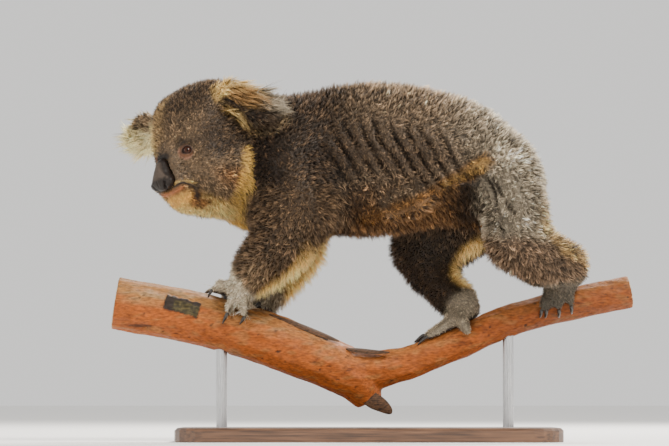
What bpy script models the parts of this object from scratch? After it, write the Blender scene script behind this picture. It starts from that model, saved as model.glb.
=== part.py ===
"""A life-size koala walking along a forked gum branch, held on a plain display stand.

Metres, +Z up. The koala walks towards -X and its left side faces -Y. The origin is the middle of the
stand's underside. The koala's solids give its outline out to the tips of the coat. The body is shaped
whole, as a signed distance that named bones and muscles add to, and is then parted with thin cuts.
"""

import itertools
import math

import bmesh
import bpy
import numpy as np
from mathutils import Matrix, Vector

# ---------------------------------------------------------------- driving dimensions
GAP = 0.0004  # clearance between neighbouring solids
CUT = 0.0006  # width of the cuts that part the body

# The blocks that the koala is carved in: two corners, grid spacing and triangles.
BLOCKS = {
    "body": ((-0.300, -0.150, 0.190), (0.330, 0.150, 0.545), 0.0034, 1590),
    "head": ((-0.350, -0.125, 0.325), (-0.160, 0.070, 0.540), 0.0026, 760),
    "foreleg_left": ((-0.255, -0.140, 0.150), (-0.040, 0.060, 0.320), 0.0024, 460),
    "foreleg_right": ((-0.215, -0.060, 0.135), (-0.030, 0.140, 0.330), 0.0024, 450),
    "hindleg_left": ((0.145, -0.150, 0.155), (0.345, 0.060, 0.330), 0.0024, 500),
    "hindleg_right": ((0.020, -0.060, 0.115), (0.195, 0.150, 0.305), 0.0024, 460),
}

BASE_SIZE = (0.56, 0.28, 0.020)
BASE_CORNER = 0.045
BASE_EDGE = 0.004
ROD_RADIUS = 0.008
ROD_PLACES = (-0.215, 0.205)
ROD_SEAT = 0.010  # how far a rod goes up into the branch

LIMB_RADIUS = 0.0385  # the thick limb that the hands hold
OFFSHOOT_RADIUS = 0.0245  # the thin limb that the feet hold
LIMB_AXIS = (
    (-0.372, 0.000, 0.202),
    (-0.300, 0.002, 0.190),
    (-0.214, 0.000, 0.170),
    (-0.154, -0.001, 0.152),
    (-0.092, 0.000, 0.127),
    (-0.040, 0.002, 0.106),
    (-0.008, 0.003, 0.084),
    (0.002, 0.003, 0.056),
)
OFFSHOOT_AXIS = (
    (-0.030, 0.002, 0.102),
    (0.042, 0.001, 0.109),
    (0.084, 0.000, 0.1245),
    (0.126, 0.000, 0.141),
    (0.200, 0.000, 0.174),
    (0.276, 0.000, 0.196),
    (0.337, 0.001, 0.210),
    (0.385, 0.002, 0.219),
)

# Trunk, at stations from chest to rump: along the body, middle's height, half width, half height.
TRUNK = (
    (-0.172, 0.400, 0.030, 0.040),
    (-0.155, 0.404, 0.064, 0.076),
    (-0.110, 0.405, 0.082, 0.100),
    (-0.050, 0.411, 0.093, 0.112),
    (0.000, 0.413, 0.101, 0.116),
    (0.050, 0.414, 0.104, 0.112),
    (0.100, 0.415, 0.102, 0.102),
    (0.150, 0.412, 0.096, 0.091),
    (0.195, 0.402, 0.085, 0.074),
    (0.228, 0.386, 0.060, 0.048),
    (0.249, 0.376, 0.026, 0.020),
)

# Head: its middle, and how it is held. It looks to the koala's left, with the left ear raised.
HEAD_PLACE = (-0.2415, -0.028, 0.4355)
HEAD_TURN = math.radians(45)
HEAD_ROLL = math.radians(12)
HEAD_NOD = math.radians(4)
EYE_RADIUS = 0.0090
EYE_PLACE = (0.0610, 0.0285, -0.0275)  # forward, sideways and up from the head's middle
NOSE_PLACE = (0.0860, 0.0000, -0.0590)
NOSE_SIZE = (0.0125, 0.0190, 0.0250)  # half thickness, half width, half height
NOSE_TILT = math.radians(3)
# Ears: middle, the way they point, the way the hollow faces, half thickness, length and height.
EARS = {
    "left": ((-0.171, -0.084, 0.489), (0.85, -0.22, -0.46), (-0.50, -0.85, 0.10), (0.016, 0.046, 0.030)),
    "right": ((-0.326, 0.040, 0.453), (-0.72, 0.66, 0.10), (-0.68, -0.72, 0.00), (0.015, 0.043, 0.031)),
}
EAR_BLOCK = 0.075  # half the side of the block that an ear is carved from
EAR_STEP = 0.0028
EAR_TRIANGLES = 200

CHIP = 1e-6  # volume of a chip left over from cutting
SHARP_ANGLE = math.radians(50)
CLAW_RADIUS = 0.0030
CLAW_BOW = 0.004  # how far a claw arches off the bark
CLAW_STEPS = 3
CLAW_SIDES = 5
CLAW_ROOM = 0.0006  # how much wider the room for a claw is than the claw, to its corners

SKIN_COLOUR = (0.235, 0.195, 0.160, 1.0)
PALE_COLOUR = (0.640, 0.590, 0.500, 1.0)
NOSE_COLOUR = (0.040, 0.036, 0.038, 1.0)
EYE_COLOUR = (0.060, 0.026, 0.015, 1.0)
CLAW_COLOUR = (0.025, 0.020, 0.020, 1.0)
BARK_COLOUR = (0.480, 0.250, 0.130, 1.0)
BASE_COLOUR = (0.180, 0.120, 0.080, 1.0)
ROD_COLOUR = (0.550, 0.550, 0.560, 1.0)


# ---------------------------------------------------------------- small helpers
def material(name, colour, roughness, metallic=0.0):
    made = bpy.data.materials.new(name)
    made.use_nodes = True
    shader = made.node_tree.nodes["Principled BSDF"]
    shader.inputs["Base Color"].default_value = colour
    shader.inputs["Roughness"].default_value = roughness
    shader.inputs["Metallic"].default_value = metallic
    made.diffuse_color = colour
    return made


def add_object(name, mesh, finish=None, helper=False):
    """Links a mesh as an object. A helper, such as a cutter, is left out of the model."""
    made = bpy.data.objects.new(name, mesh)
    bpy.context.scene.collection.objects.link(made)
    if finish:
        mesh.materials.clear()
        mesh.materials.append(finish)
        mesh.shade_smooth()
    if helper:
        made.hide_render = True
        made.display_type = "WIRE"
    return made


def mesh_from(name, build):
    """A mesh filled in by build(bm)."""
    bm = bmesh.new()
    build(bm)
    bmesh.ops.recalc_face_normals(bm, faces=bm.faces)
    mesh = bpy.data.meshes.new(name)
    bm.to_mesh(mesh)
    bm.free()
    return mesh


def evaluated_mesh(thing):
    bpy.context.view_layer.update()
    graph = bpy.context.evaluated_depsgraph_get()
    return bpy.data.meshes.new_from_object(thing.evaluated_get(graph), depsgraph=graph)


def settled(thing, finish):
    """Makes a thing's modifiers permanent and gives it one smooth finish."""
    thing.data = evaluated_mesh(thing)
    thing.modifiers.clear()
    thing.data.materials.clear()
    thing.data.materials.append(finish)
    thing.data.shade_smooth()
    thing.data.set_sharp_from_angle(angle=SHARP_ANGLE)
    return thing


def boolean(thing, cutter, operation="DIFFERENCE"):
    modifier = thing.modifiers.new(operation.lower(), "BOOLEAN")
    modifier.operation = operation
    modifier.object = cutter


def grown(thing, amount):
    """A helper with the same shape as thing, larger all round by amount, to cut its neighbours with."""
    helper = add_object(thing.name + "_room", evaluated_mesh(thing), helper=True)
    push = helper.modifiers.new("push", "DISPLACE")
    push.mid_level = 0.0
    push.strength = amount
    baked = evaluated_mesh(helper)
    helper.modifiers.clear()
    helper.data = baked
    return helper


def smooth_curve(stations, at):
    """Catmull-Rom curve through rows of numbers; the first column is the parameter that at runs along."""
    rows = np.array(stations, float)
    keys, values = rows[:, 0], rows[:, 1:]
    slopes = np.gradient(values, keys, axis=0)
    i = np.clip(np.searchsorted(keys, at, side="right") - 1, 0, len(keys) - 2)
    width = keys[i + 1] - keys[i]
    t = np.clip((at - keys[i]) / width, 0.0, 1.0)[..., None]
    width = width[..., None]
    return (
        (1 + 2 * t) * (1 - t) ** 2 * values[i]
        + t * (1 - t) ** 2 * width * slopes[i]
        + t * t * (3 - 2 * t) * values[i + 1]
        + t * t * (t - 1) * width * slopes[i + 1]
    )


# ---------------------------------------------------------------- shaping by signed distance
class Clay:
    """A signed distance on a grid, negative inside. Shapes are added to it and blend into each other."""

    def __init__(self, low, high, step):
        self.low, self.step = np.array(low, float), step
        self.shape = tuple(np.ceil((np.array(high) - self.low) / step).astype(int) + 1)
        self.field = np.full(self.shape, 0.05, np.float32)

    def window(self, low, high):
        """The part of the grid between two corners, as slices, and its points."""
        first = np.clip(np.floor((low - self.low) / self.step).astype(int), 0, self.shape)
        last = np.clip(np.ceil((high - self.low) / self.step).astype(int) + 1, 0, self.shape)
        axes = [self.low[k] + self.step * np.arange(first[k], last[k]) for k in range(3)]
        points = np.stack(np.meshgrid(*axes, indexing="ij"), axis=-1)
        return tuple(slice(a, b) for a, b in zip(first, last)), points

    def add(self, low, high, distance, blend):
        """Joins a shape that lies between two corners, with a fillet about as wide as blend."""
        reach = blend + 2 * self.step
        part, points = self.window(np.array(low) - reach, np.array(high) + reach)
        new, old = distance(points), self.field[part]
        h = np.clip(0.5 + 0.5 * (old - new) / blend, 0.0, 1.0)
        self.field[part] = old * (1 - h) + new * h - blend * h * (1 - h)

    def carve(self, low, high, distance, blend):
        """Takes a shape away, with a soft edge about as wide as blend."""
        part, points = self.window(np.array(low), np.array(high))
        new, old = -distance(points), self.field[part]
        h = np.clip(0.5 - 0.5 * (old - new) / blend, 0.0, 1.0)
        self.field[part] = old * (1 - h) + new * h + blend * h * (1 - h)

    def ball(self, centre, radii, axes=None, blend=0.02, take=False):
        """An ellipsoid. The rows of axes are its own directions in the world."""
        axes = np.eye(3) if axes is None else np.array(axes, float)
        radii = np.array(radii, float)
        reach = np.sqrt(((axes.T * radii) ** 2).sum(axis=1))

        def distance(points):
            own = (points - centre) @ axes.T
            scaled = np.linalg.norm(own / radii, axis=-1)
            steep = np.linalg.norm(own / radii**2, axis=-1) + 1e-6
            return scaled * (scaled - 1.0) / steep

        change = self.carve if take else self.add
        change(centre - reach, centre + reach, distance, blend)

    def bone(self, a, b, radius_a, radius_b, blend=0.02):
        """A rod with round ends that tapers from one radius to the other."""
        a, b = np.array(a, float), np.array(b, float)
        run = b - a

        def distance(points):
            along = np.clip((points - a) @ run / (run @ run), 0.0, 1.0)
            off = np.linalg.norm(points - a - along[..., None] * run, axis=-1)
            return off - (radius_a + along * (radius_b - radius_a))

        most = max(radius_a, radius_b)
        self.add(np.minimum(a, b) - most, np.maximum(a, b) + most, distance, blend)

    def limb(self, joints, blend=0.02):
        """Bones through joints, each a place and a radius."""
        for (a, radius_a), (b, radius_b) in itertools.pairwise(joints):
            self.bone(a, b, radius_a, radius_b, blend)

    def trunk(self, stations, blend=0.02):
        """A body along X with an elliptic section at each station."""
        rows = np.array(stations)
        start, end = rows[0, 0], rows[-1, 0]
        low = (start, -rows[:, 2].max(), (rows[:, 1] - rows[:, 3]).min())
        high = (end, rows[:, 2].max(), (rows[:, 1] + rows[:, 3]).max())

        def distance(points):
            x = points[..., 0]
            middle, wide, tall = np.moveaxis(smooth_curve(stations, x), -1, 0)
            scaled = np.hypot(points[..., 1] / wide, (points[..., 2] - middle) / tall)
            side = (scaled - 1.0) * np.minimum(wide, tall)
            past = np.maximum(start - x, x - end)
            outside = np.hypot(np.maximum(side, 0.0), np.maximum(past, 0.0))
            return np.where((side > 0) | (past > 0), outside, np.maximum(side, past))

        self.add(low, high, distance, blend)

    def soften(self):
        """Evens out slits narrower than the grid, and fills places where two corners would only touch."""
        for axis in range(3):
            ends = [(1, 1) if k == axis else (0, 0) for k in range(3)]
            wide = np.moveaxis(np.pad(self.field, ends, mode="edge"), axis, 0)
            self.field = np.moveaxis((wide[:-2] + 2 * wide[1:-1] + wide[2:]) / 4, 0, axis)
        for _, axis in itertools.product(range(4), range(3)):
            level = np.moveaxis(self.field, axis, 0)
            a, b, c, d = level[:, :-1, :-1], level[:, 1:, :-1], level[:, :-1, 1:], level[:, 1:, 1:]
            for p, q, r, s in ((a, d, b, c), (b, c, a, d)):
                touching = (p < 0) & (q < 0) & (r >= 0) & (s >= 0)
                r[touching] = s[touching] = -1e-4

    def surface(self):
        """Surface nets: a vertex in each cell that the surface crosses, a quad over each crossed edge."""
        field = np.full(self.shape, 1e-4, np.float32)  # closed at the sides of the block
        field[1:-1, 1:-1, 1:-1] = self.field[1:-1, 1:-1, 1:-1]
        inside = field < 0
        cells_shape = tuple(n - 1 for n in self.shape)
        corners = list(itertools.product((0, 1), repeat=3))
        count = sum(
            inside[tuple(slice(c, c + n) for c, n in zip(corner, cells_shape))].astype(int)
            for corner in corners
        )
        cells = np.argwhere((count > 0) & (count < 8))
        index = np.full(cells_shape, -1)
        index[tuple(cells.T)] = np.arange(len(cells))
        total, hits = np.zeros((len(cells), 3)), np.zeros(len(cells))
        for a, b in itertools.combinations(corners, 2):
            if sum(abs(i - j) for i, j in zip(a, b)) != 1:
                continue
            at_a = field[tuple((cells + a).T)]
            at_b = field[tuple((cells + b).T)]
            crossed = (at_a < 0) != (at_b < 0)
            t = np.where(crossed, at_a / np.where(crossed, at_a - at_b, 1.0), 0.0)
            total += crossed[:, None] * (np.array(a) + t[:, None] * (np.array(b) - a))
            hits += crossed
        points = self.low + (cells + total / hits[:, None]) * self.step
        quads = []
        for axis in range(3):
            ahead = np.roll(inside, -1, axis)
            crossed = np.argwhere(inside != ahead)
            u, v = np.eye(3, dtype=int)[(axis + 1) % 3], np.eye(3, dtype=int)[(axis + 2) % 3]
            ring = [index[tuple((crossed - d).T)] for d in (0 * u, u, u + v, v)]
            ring = np.stack(ring, axis=1)
            leaving = inside[tuple(crossed.T)]
            quads.append(np.where(leaving[:, None], ring, ring[:, ::-1]))
        return points, np.concatenate(quads)


def mesh_of(clay, name, triangles, smoothing=4):
    """The clay's surface, smoothed and thinned to about that many triangles."""
    clay.soften()
    points, quads = clay.surface()
    mesh = bpy.data.meshes.new(name)
    mesh.from_pydata(points.tolist(), [], quads.tolist())
    shaped = add_object(name + "_shape", mesh, helper=True)
    relax = shaped.modifiers.new("relax", "SMOOTH")
    relax.factor, relax.iterations = 0.5, smoothing
    thin = shaped.modifiers.new("thin", "DECIMATE")
    thin.ratio = triangles / (2 * len(quads))
    made = evaluated_mesh(shaped)
    bpy.data.objects.remove(shaped)
    made.name = name
    return made


# ---------------------------------------------------------------- branch and stand
def tube(name, stations, sides, roughness):
    """A closed tube along points with radii. Its skin is uneven, as bark is, by a share of the radius."""
    places = [Vector(p) for p, _ in stations]
    alongs = [places[min(i + 1, len(places) - 1)] - places[max(i - 1, 0)] for i in range(len(places))]

    def build(bm):
        rings = []
        turn = alongs[0].to_track_quat("Z", "Y")
        for i, (place, radius) in enumerate(stations):
            turn = alongs[max(i - 1, 0)].rotation_difference(alongs[i]) @ turn
            ring = []
            for k in range(sides):
                angle = math.tau * k / sides
                bump = math.sin(2 * angle + 1.3 + 9 * place[0]) + math.sin(3 * angle + 40 * place[0])
                reach = radius * (1 + roughness * bump)
                spoke = Vector((math.cos(angle), math.sin(angle), 0.0)) * reach
                ring.append(bm.verts.new(places[i] + turn @ spoke))
            rings.append(ring)
        for lower, upper in itertools.pairwise(rings):
            for k in range(sides):
                n = (k + 1) % sides
                bm.faces.new((lower[k], lower[n], upper[n], upper[k]))
        bm.faces.new(rings[0][::-1])
        bm.faces.new(rings[-1])
        bmesh.ops.triangulate(bm, faces=bm.faces)

    return mesh_from(name, build)


def along_axis(axis, steps):
    """Points spread evenly in X along a limb's curved axis."""
    rows = np.array(axis)
    keys = np.concatenate([[0], np.cumsum(np.linalg.norm(np.diff(rows, axis=0), axis=1))])
    table = np.column_stack([keys, rows])
    return smooth_curve(table, np.linspace(0, keys[-1], steps))


def branch_place(x, angle, height):
    """A point beside the branch: at x, turned by angle in degrees from its top towards -Y, off its bark."""
    if x < 0.0:
        axis, radius = LIMB_AXIS, LIMB_RADIUS
    else:
        axis, radius = OFFSHOOT_AXIS, OFFSHOOT_RADIUS
    y, z = smooth_curve(axis, np.array(x, float))
    turn, reach = math.radians(angle), radius + height
    return np.array((x, y - reach * math.sin(turn), z + reach * math.cos(turn)))


def make_branch(bark):
    """The thick limb ends in a broken stub where the thin one leaves it."""
    limb_points = along_axis(LIMB_AXIS, 13)
    limb = []
    for i, place in enumerate(limb_points):
        share = i / (len(limb_points) - 1)
        taper = math.sqrt(1.0 - 0.75 * (max(0.0, share - 0.80) / 0.20) ** 3)
        limb.append((place, LIMB_RADIUS * taper))
    thin_points = along_axis(OFFSHOOT_AXIS, 11)
    offshoot = []
    for i, place in enumerate(thin_points):
        share = i / (len(thin_points) - 1)
        swell = 1.0 + 0.42 * max(0.0, 0.22 - share) / 0.22
        offshoot.append((place, OFFSHOOT_RADIUS * swell))
    branch = add_object("perch_branch", tube("limb", limb, 12, 0.018), bark)
    second = add_object("offshoot", tube("offshoot", offshoot, 10, 0.018), helper=True)
    boolean(branch, second, "UNION")
    return settled(branch, bark)


def make_stand(branch, base_finish, rod_finish):
    """A flat base with rounded corners and two rods that go a little way up into the branch."""
    wide, deep, thick = BASE_SIZE

    def plate(bm):
        bmesh.ops.create_cube(bm, size=1.0)
        bmesh.ops.scale(bm, vec=BASE_SIZE, verts=bm.verts)
        bmesh.ops.translate(bm, vec=(0, 0, thick / 2), verts=bm.verts)
        upright = [e for e in bm.edges if abs(e.verts[0].co.z - e.verts[1].co.z) > thick / 2]
        bmesh.ops.bevel(bm, geom=upright, offset=BASE_CORNER, segments=5, affect="EDGES", profile=0.5)
        rim = [e for e in bm.edges if all(v.co.z > thick * 0.9 for v in e.verts)]
        rim = [e for e in rim if any(abs(f.normal.z) < 0.5 for f in e.link_faces)]
        bmesh.ops.bevel(bm, geom=rim, offset=BASE_EDGE, segments=1, affect="EDGES", profile=0.5)

    base = add_object("stand_base", mesh_from("stand_base", plate), base_finish)
    base.data.set_sharp_from_angle(angle=SHARP_ANGLE)
    for side, x in zip(("front", "rear"), ROD_PLACES):
        top = float(branch_place(x, 180, -ROD_SEAT)[2])
        foot = thick + GAP

        def rod(bm, x=x, top=top, foot=foot):
            bmesh.ops.create_cone(
                bm, segments=16, radius1=ROD_RADIUS, radius2=ROD_RADIUS,
                depth=top - foot, cap_ends=True,
                matrix=Matrix.Translation((x, 0, (top + foot) / 2)),
            )

        made = add_object(f"stand_rod_{side}", mesh_from("rod", rod), rod_finish)
        made.data.set_sharp_from_angle(angle=SHARP_ANGLE)
        boolean(branch, grown(made, GAP))


# ---------------------------------------------------------------- the koala
def head_axes():
    """Rows: forward, towards the koala's left, and up, as the head is held."""
    forward = Vector((-math.cos(HEAD_TURN), -math.sin(HEAD_TURN), 0.0))
    left = Vector((math.sin(HEAD_TURN), -math.cos(HEAD_TURN), 0.0))
    up = Vector((0.0, 0.0, 1.0))
    nod = Matrix.Rotation(-HEAD_NOD, 3, left)
    roll = Matrix.Rotation(HEAD_ROLL, 3, forward)
    return np.array([roll @ nod @ v for v in (forward, left, up)])


HEAD = head_axes()


def head_point(place):
    return np.array(HEAD_PLACE) + np.array(place, float) @ HEAD


def leaned(axes, angle):
    """The three axes with forward tipped up by angle."""
    forward, left, up = axes
    c, s = math.cos(angle), math.sin(angle)
    return np.array([c * forward + s * up, left, c * up - s * forward])


def shape_head(clay):
    def lump(place, radii, blend=0.02, tilt=0.0, take=False):
        clay.ball(head_point(place), radii, leaned(HEAD, tilt), blend, take)

    lump((-0.009, 0.0, 0.023), (0.068, 0.070, 0.072), 0.02)  # skull
    lump((0.018, 0.0, 0.013), (0.057, 0.070, 0.059), 0.02)  # forehead
    lump((0.036, 0.0, -0.036), (0.042, 0.046, 0.044), 0.018)  # face
    lump((0.066, 0.0, -0.034), (0.022, 0.018, 0.030), 0.014)  # bridge of the nose
    lump((0.057, 0.0, -0.063), (0.034, 0.031, 0.026), 0.014)  # muzzle
    lump((0.039, 0.0, -0.090), (0.035, 0.026, 0.023), 0.012)  # lower jaw
    for side in (1, -1):
        lump((0.004, side * 0.038, -0.050), (0.050, 0.038, 0.048), 0.022)  # cheek
        lump((0.068, side * 0.015, -0.070), (0.021, 0.017, 0.014), 0.008)  # upper lip
        lump((0.046, side * 0.031, -0.008), (0.020, 0.018, 0.012), 0.012)  # brow
        lump((-0.020, side * 0.052, 0.026), (0.028, 0.026, 0.032), 0.018)  # root of the ear
        lump((0.009, side * 0.044, 0.050), (0.035, 0.032, 0.034), 0.018)  # corner of the forehead
    for side in (1, -1):
        lump((0.077, side * 0.043, -0.029), (0.016, 0.016, 0.014), 0.012, take=True)  # eye hollow


def shape_neck_and_trunk(clay):
    clay.trunk(TRUNK, 0.02)
    nape, throat = (-0.215, -0.018, 0.452), (-0.220, -0.022, 0.388)
    clay.bone(nape, (-0.125, 0.000, 0.430), 0.060, 0.072, 0.03)
    clay.bone(throat, (-0.140, 0.000, 0.378), 0.050, 0.070, 0.03)
    clay.ball(np.array((-0.165, -0.004, 0.362)), (0.050, 0.062, 0.052), blend=0.03)  # breast
    clay.ball(np.array((-0.226, -0.030, 0.362)), (0.040, 0.034, 0.034), blend=0.03)  # dewlap
    for side in (-1, 1):
        clay.ball(np.array((-0.115, side * 0.052, 0.425)), (0.052, 0.040, 0.062), blend=0.03)  # shoulder
        clay.ball(np.array((0.187, side * 0.050, 0.393)), (0.056, 0.050, 0.062), blend=0.03)  # haunch
    clay.ball(np.array((0.222, 0.0, 0.372)), (0.036, 0.055, 0.042), blend=0.03)  # rump
    # The loose fold of skin from the near thigh to the belly, and the hollow under it.
    fold = ((0.165, -0.082, 0.392), (0.120, -0.094, 0.360), (0.070, -0.094, 0.336), (0.030, -0.084, 0.322))
    clay.limb([(place, 0.012) for place in fold], 0.026)
    clay.ball(np.array((0.140, -0.112, 0.330)), (0.044, 0.040, 0.030), blend=0.020, take=True)


# Joints of each leg from the body outwards: place and the radius of the coat there.
LEGS = {
    "foreleg_left": (
        ((-0.116, -0.062, 0.402), 0.057),
        ((-0.102, -0.076, 0.332), 0.053),
        ((-0.125, -0.068, 0.286), 0.048),
        ((-0.159, -0.049, 0.251), 0.038),
        ((-0.184, -0.030, 0.227), 0.022),
    ),
    "foreleg_right": (
        ((-0.116, 0.062, 0.405), 0.056),
        ((-0.100, 0.074, 0.335), 0.048),
        ((-0.108, 0.068, 0.282), 0.043),
        ((-0.132, 0.052, 0.238), 0.033),
        ((-0.148, 0.036, 0.209), 0.022),
    ),
    "hindleg_left": (
        ((0.194, -0.058, 0.388), 0.057),
        ((0.212, -0.080, 0.334), 0.046),
        ((0.211, -0.086, 0.288), 0.042),
        ((0.250, -0.068, 0.267), 0.039),
        ((0.285, -0.040, 0.257), 0.034),
        ((0.280, -0.018, 0.235), 0.021),
    ),
    "hindleg_right": (
        ((0.186, 0.058, 0.352), 0.062),
        ((0.130, 0.074, 0.315), 0.053),
        ((0.078, 0.078, 0.285), 0.043),
        ((0.094, 0.064, 0.247), 0.032),
        ((0.125, 0.036, 0.213), 0.029),
        ((0.147, 0.013, 0.196), 0.020),
    ),
}

# Each digit: its joints as (x, turn round the branch in degrees, height over the bark), and the claw's tip.
# A toe without a claw has None for its tip.
LEFT_HAND = {
    "thumb": (((-0.198, -14, 0.014), (-0.211, -32, 0.011), (-0.217, -46, 0.009)), (-0.224, -66, 0.001)),
    "second": (((-0.201, -2, 0.017), (-0.221, -8, 0.014), (-0.231, -14, 0.010)), (-0.243, -24, 0.001)),
    "third": (((-0.198, 14, 0.020), (-0.218, 19, 0.025), (-0.228, 26, 0.014)), (-0.235, 31, 0.001)),
    "fourth": (((-0.194, 30, 0.014), (-0.202, 50, 0.012), (-0.205, 66, 0.010)), (-0.213, 88, 0.001)),
    "fifth": (((-0.182, 32, 0.013), (-0.178, 50, 0.011), (-0.180, 64, 0.009)), (-0.188, 80, 0.001)),
}
RIGHT_HAND = {
    "thumb": (((-0.147, -22, 0.013), (-0.155, -8, 0.011), (-0.159, 2, 0.009)), (-0.166, 15, 0.001)),
    "second": (((-0.153, -32, 0.014), (-0.166, -25, 0.011), (-0.173, -20, 0.009)), (-0.182, -12, 0.001)),
    "third": (((-0.160, -42, 0.014), (-0.170, -56, 0.012), (-0.175, -70, 0.009)), (-0.182, -90, 0.001)),
    "fourth": (((-0.154, -50, 0.013), (-0.158, -70, 0.011), (-0.160, -88, 0.009)), (-0.166, -110, 0.001)),
    "fifth": (((-0.146, -52, 0.012), (-0.142, -70, 0.010), (-0.142, -86, 0.008)), (-0.146, -106, 0.001)),
}
HAND_RADII = (0.0100, 0.0086, 0.0070)

LEFT_FOOT = {
    "hallux": (((0.274, -30, 0.012), (0.266, -70, 0.010), (0.262, -98, 0.009)), None),
    "second": (((0.265, 16, 0.010), (0.256, 60, 0.007), (0.253, 86, 0.006)), (0.250, 112, 0.001)),
    "third": (((0.268, 16, 0.010), (0.262, 62, 0.007), (0.260, 90, 0.006)), (0.258, 118, 0.001)),
    "fourth": (((0.278, 22, 0.011), (0.278, 66, 0.009), (0.278, 98, 0.007)), (0.278, 130, 0.001)),
    "fifth": (((0.291, 22, 0.011), (0.295, 64, 0.009), (0.296, 96, 0.007)), (0.297, 128, 0.001)),
}
RIGHT_FOOT = {
    "hallux": (((0.134, 14, 0.014), (0.138, 44, 0.013), (0.143, 70, 0.011)), None),
    "second": (((0.120, 20, 0.012), (0.102, 26, 0.008), (0.087, 30, 0.007)), (0.072, 36, 0.001)),
    "third": (((0.118, 12, 0.012), (0.098, 8, 0.008), (0.083, 6, 0.007)), (0.067, 6, 0.001)),
    "fourth": (((0.114, -10, 0.012), (0.094, -20, 0.009), (0.080, -26, 0.008)), (0.066, -36, 0.001)),
    "fifth": (((0.122, -30, 0.012), (0.106, -52, 0.009), (0.097, -68, 0.008)), (0.088, -88, 0.001)),
}
FOOT_RADII = (0.0085, 0.0074, 0.0064)
HALLUX_RADII = (0.0115, 0.0108, 0.0092)
PALM_RADIUS = 0.0135


def shape_paw(clay, wrist, digits):
    """Digits that spread from the wrist and close on the branch, with the palm between them."""
    for name, (joints, _) in digits.items():
        places = [branch_place(*joint) for joint in joints]
        radii = HALLUX_RADII if name == "hallux" else FOOT_RADII if "hallux" in digits else HAND_RADII
        clay.bone(wrist, places[0], PALM_RADIUS, radii[0], 0.007)
        clay.limb(list(zip(places, radii)), 0.003)


PAWS = {
    "foreleg_left": ("hand_left", LEFT_HAND),
    "foreleg_right": ("hand_right", RIGHT_HAND),
    "hindleg_left": ("foot_left", LEFT_FOOT),
    "hindleg_right": ("foot_right", RIGHT_FOOT),
}


def carve_block(name):
    """One block of the koala, without its ears, nose pad, eyes and claws. A leg is whole in its own block."""
    low, high, step, triangles = BLOCKS[name]
    clay = Clay(low, high, step)
    shape_neck_and_trunk(clay)
    shape_head(clay)
    if name in LEGS:
        clay.limb(LEGS[name], 0.022)
        shape_paw(clay, LEGS[name][-1][0], PAWS[name][1])
    else:
        for leg, joints in LEGS.items():
            clay.limb(joints[:4] if "fore" in leg else joints, 0.022)
    return mesh_of(clay, name, triangles)


# Where the body is parted. A cup is a rounded shell that holds the upper part of a leg: middle and half
# sizes. A slice is flat: middle, normal and radius.
CUP_SQUARENESS = 0.65  # 1 is an ellipsoid, 0 a box
CUPS = {
    "foreleg_left": ((-0.108, -0.074, 0.321), (0.080, 0.075, 0.056)),
    "foreleg_right": ((-0.103, 0.072, 0.323), (0.078, 0.068, 0.056)),
    "hindleg_left": ((0.216, -0.082, 0.344), (0.068, 0.068, 0.062)),
    "hindleg_right": ((0.103, 0.073, 0.304), (0.082, 0.067, 0.056)),
}
SLICES = {
    "neck_front": ((-0.200, -0.020, 0.420), (-0.93, -0.34, 0.08), 0.120),
    "neck_rear": ((-0.158, -0.004, 0.420), (-0.93, -0.10, 0.38), 0.125),
    "foreleg_left": ((-0.175, -0.038, 0.238), (-0.72, 0.42, -0.55), 0.080),
    "foreleg_right": ((-0.138, 0.040, 0.222), (-0.55, -0.50, -0.67), 0.080),
    "hindleg_left": ((0.288, -0.032, 0.248), (-0.05, 0.50, -0.86), 0.090),
    "hindleg_right": ((0.136, 0.026, 0.204), (0.55, -0.55, -0.62), 0.080),
}
# About the middle of every part, to tell the parts by once they are cut.
MIDDLES = {
    "head": (-0.250, -0.030, 0.435),
    "neck": (-0.182, -0.014, 0.420),
    "trunk": (0.040, 0.000, 0.415),
    "upper_arm_left": (-0.110, -0.080, 0.325),
    "upper_arm_right": (-0.104, 0.080, 0.325),
    "forearm_left": (-0.145, -0.058, 0.258),
    "forearm_right": (-0.125, 0.056, 0.245),
    "hand_left": (-0.200, -0.020, 0.215),
    "hand_right": (-0.162, 0.016, 0.200),
    "thigh_left": (0.215, -0.095, 0.340),
    "thigh_right": (0.105, 0.080, 0.305),
    "shank_left": (0.262, -0.062, 0.268),
    "shank_right": (0.112, 0.052, 0.232),
    "foot_left": (0.278, -0.012, 0.215),
    "foot_right": (0.115, 0.004, 0.165),
}


def slice_cutter(name):
    """A thin disc."""
    middle, normal, radius = SLICES[name]
    turn = Vector(normal).to_track_quat("Z", "Y").to_matrix().to_4x4()

    def disc(bm):
        bmesh.ops.create_cone(
            bm, segments=24, radius1=radius, radius2=radius, depth=CUT, cap_ends=True,
            matrix=Matrix.Translation(middle) @ turn,
        )

    return add_object(name + "_slice", mesh_from("slice", disc), helper=True)


def cup_cutter(name):
    """A thin shell, like an ellipsoid but squarer."""
    middle, radii = CUPS[name]
    bm = bmesh.new()
    for layer, inward in ((CUT / 2, False), (-CUT / 2, True)):
        ball = bmesh.new()
        bmesh.ops.create_icosphere(ball, subdivisions=2, radius=1.0)
        for vert in ball.verts:
            vert.co = [math.copysign(abs(c) ** CUP_SQUARENESS, c) for c in vert.co]
        bmesh.ops.scale(ball, vec=[r + layer for r in radii], verts=ball.verts)
        bmesh.ops.translate(ball, vec=middle, verts=ball.verts)
        if inward:
            bmesh.ops.reverse_faces(ball, faces=ball.faces)
        shell = bpy.data.meshes.new("layer")
        ball.to_mesh(shell)
        ball.free()
        bm.from_mesh(shell)
    mesh = bpy.data.meshes.new("cup")
    bm.to_mesh(mesh)
    bm.free()
    return add_object(name + "_cup", mesh, helper=True)


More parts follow.
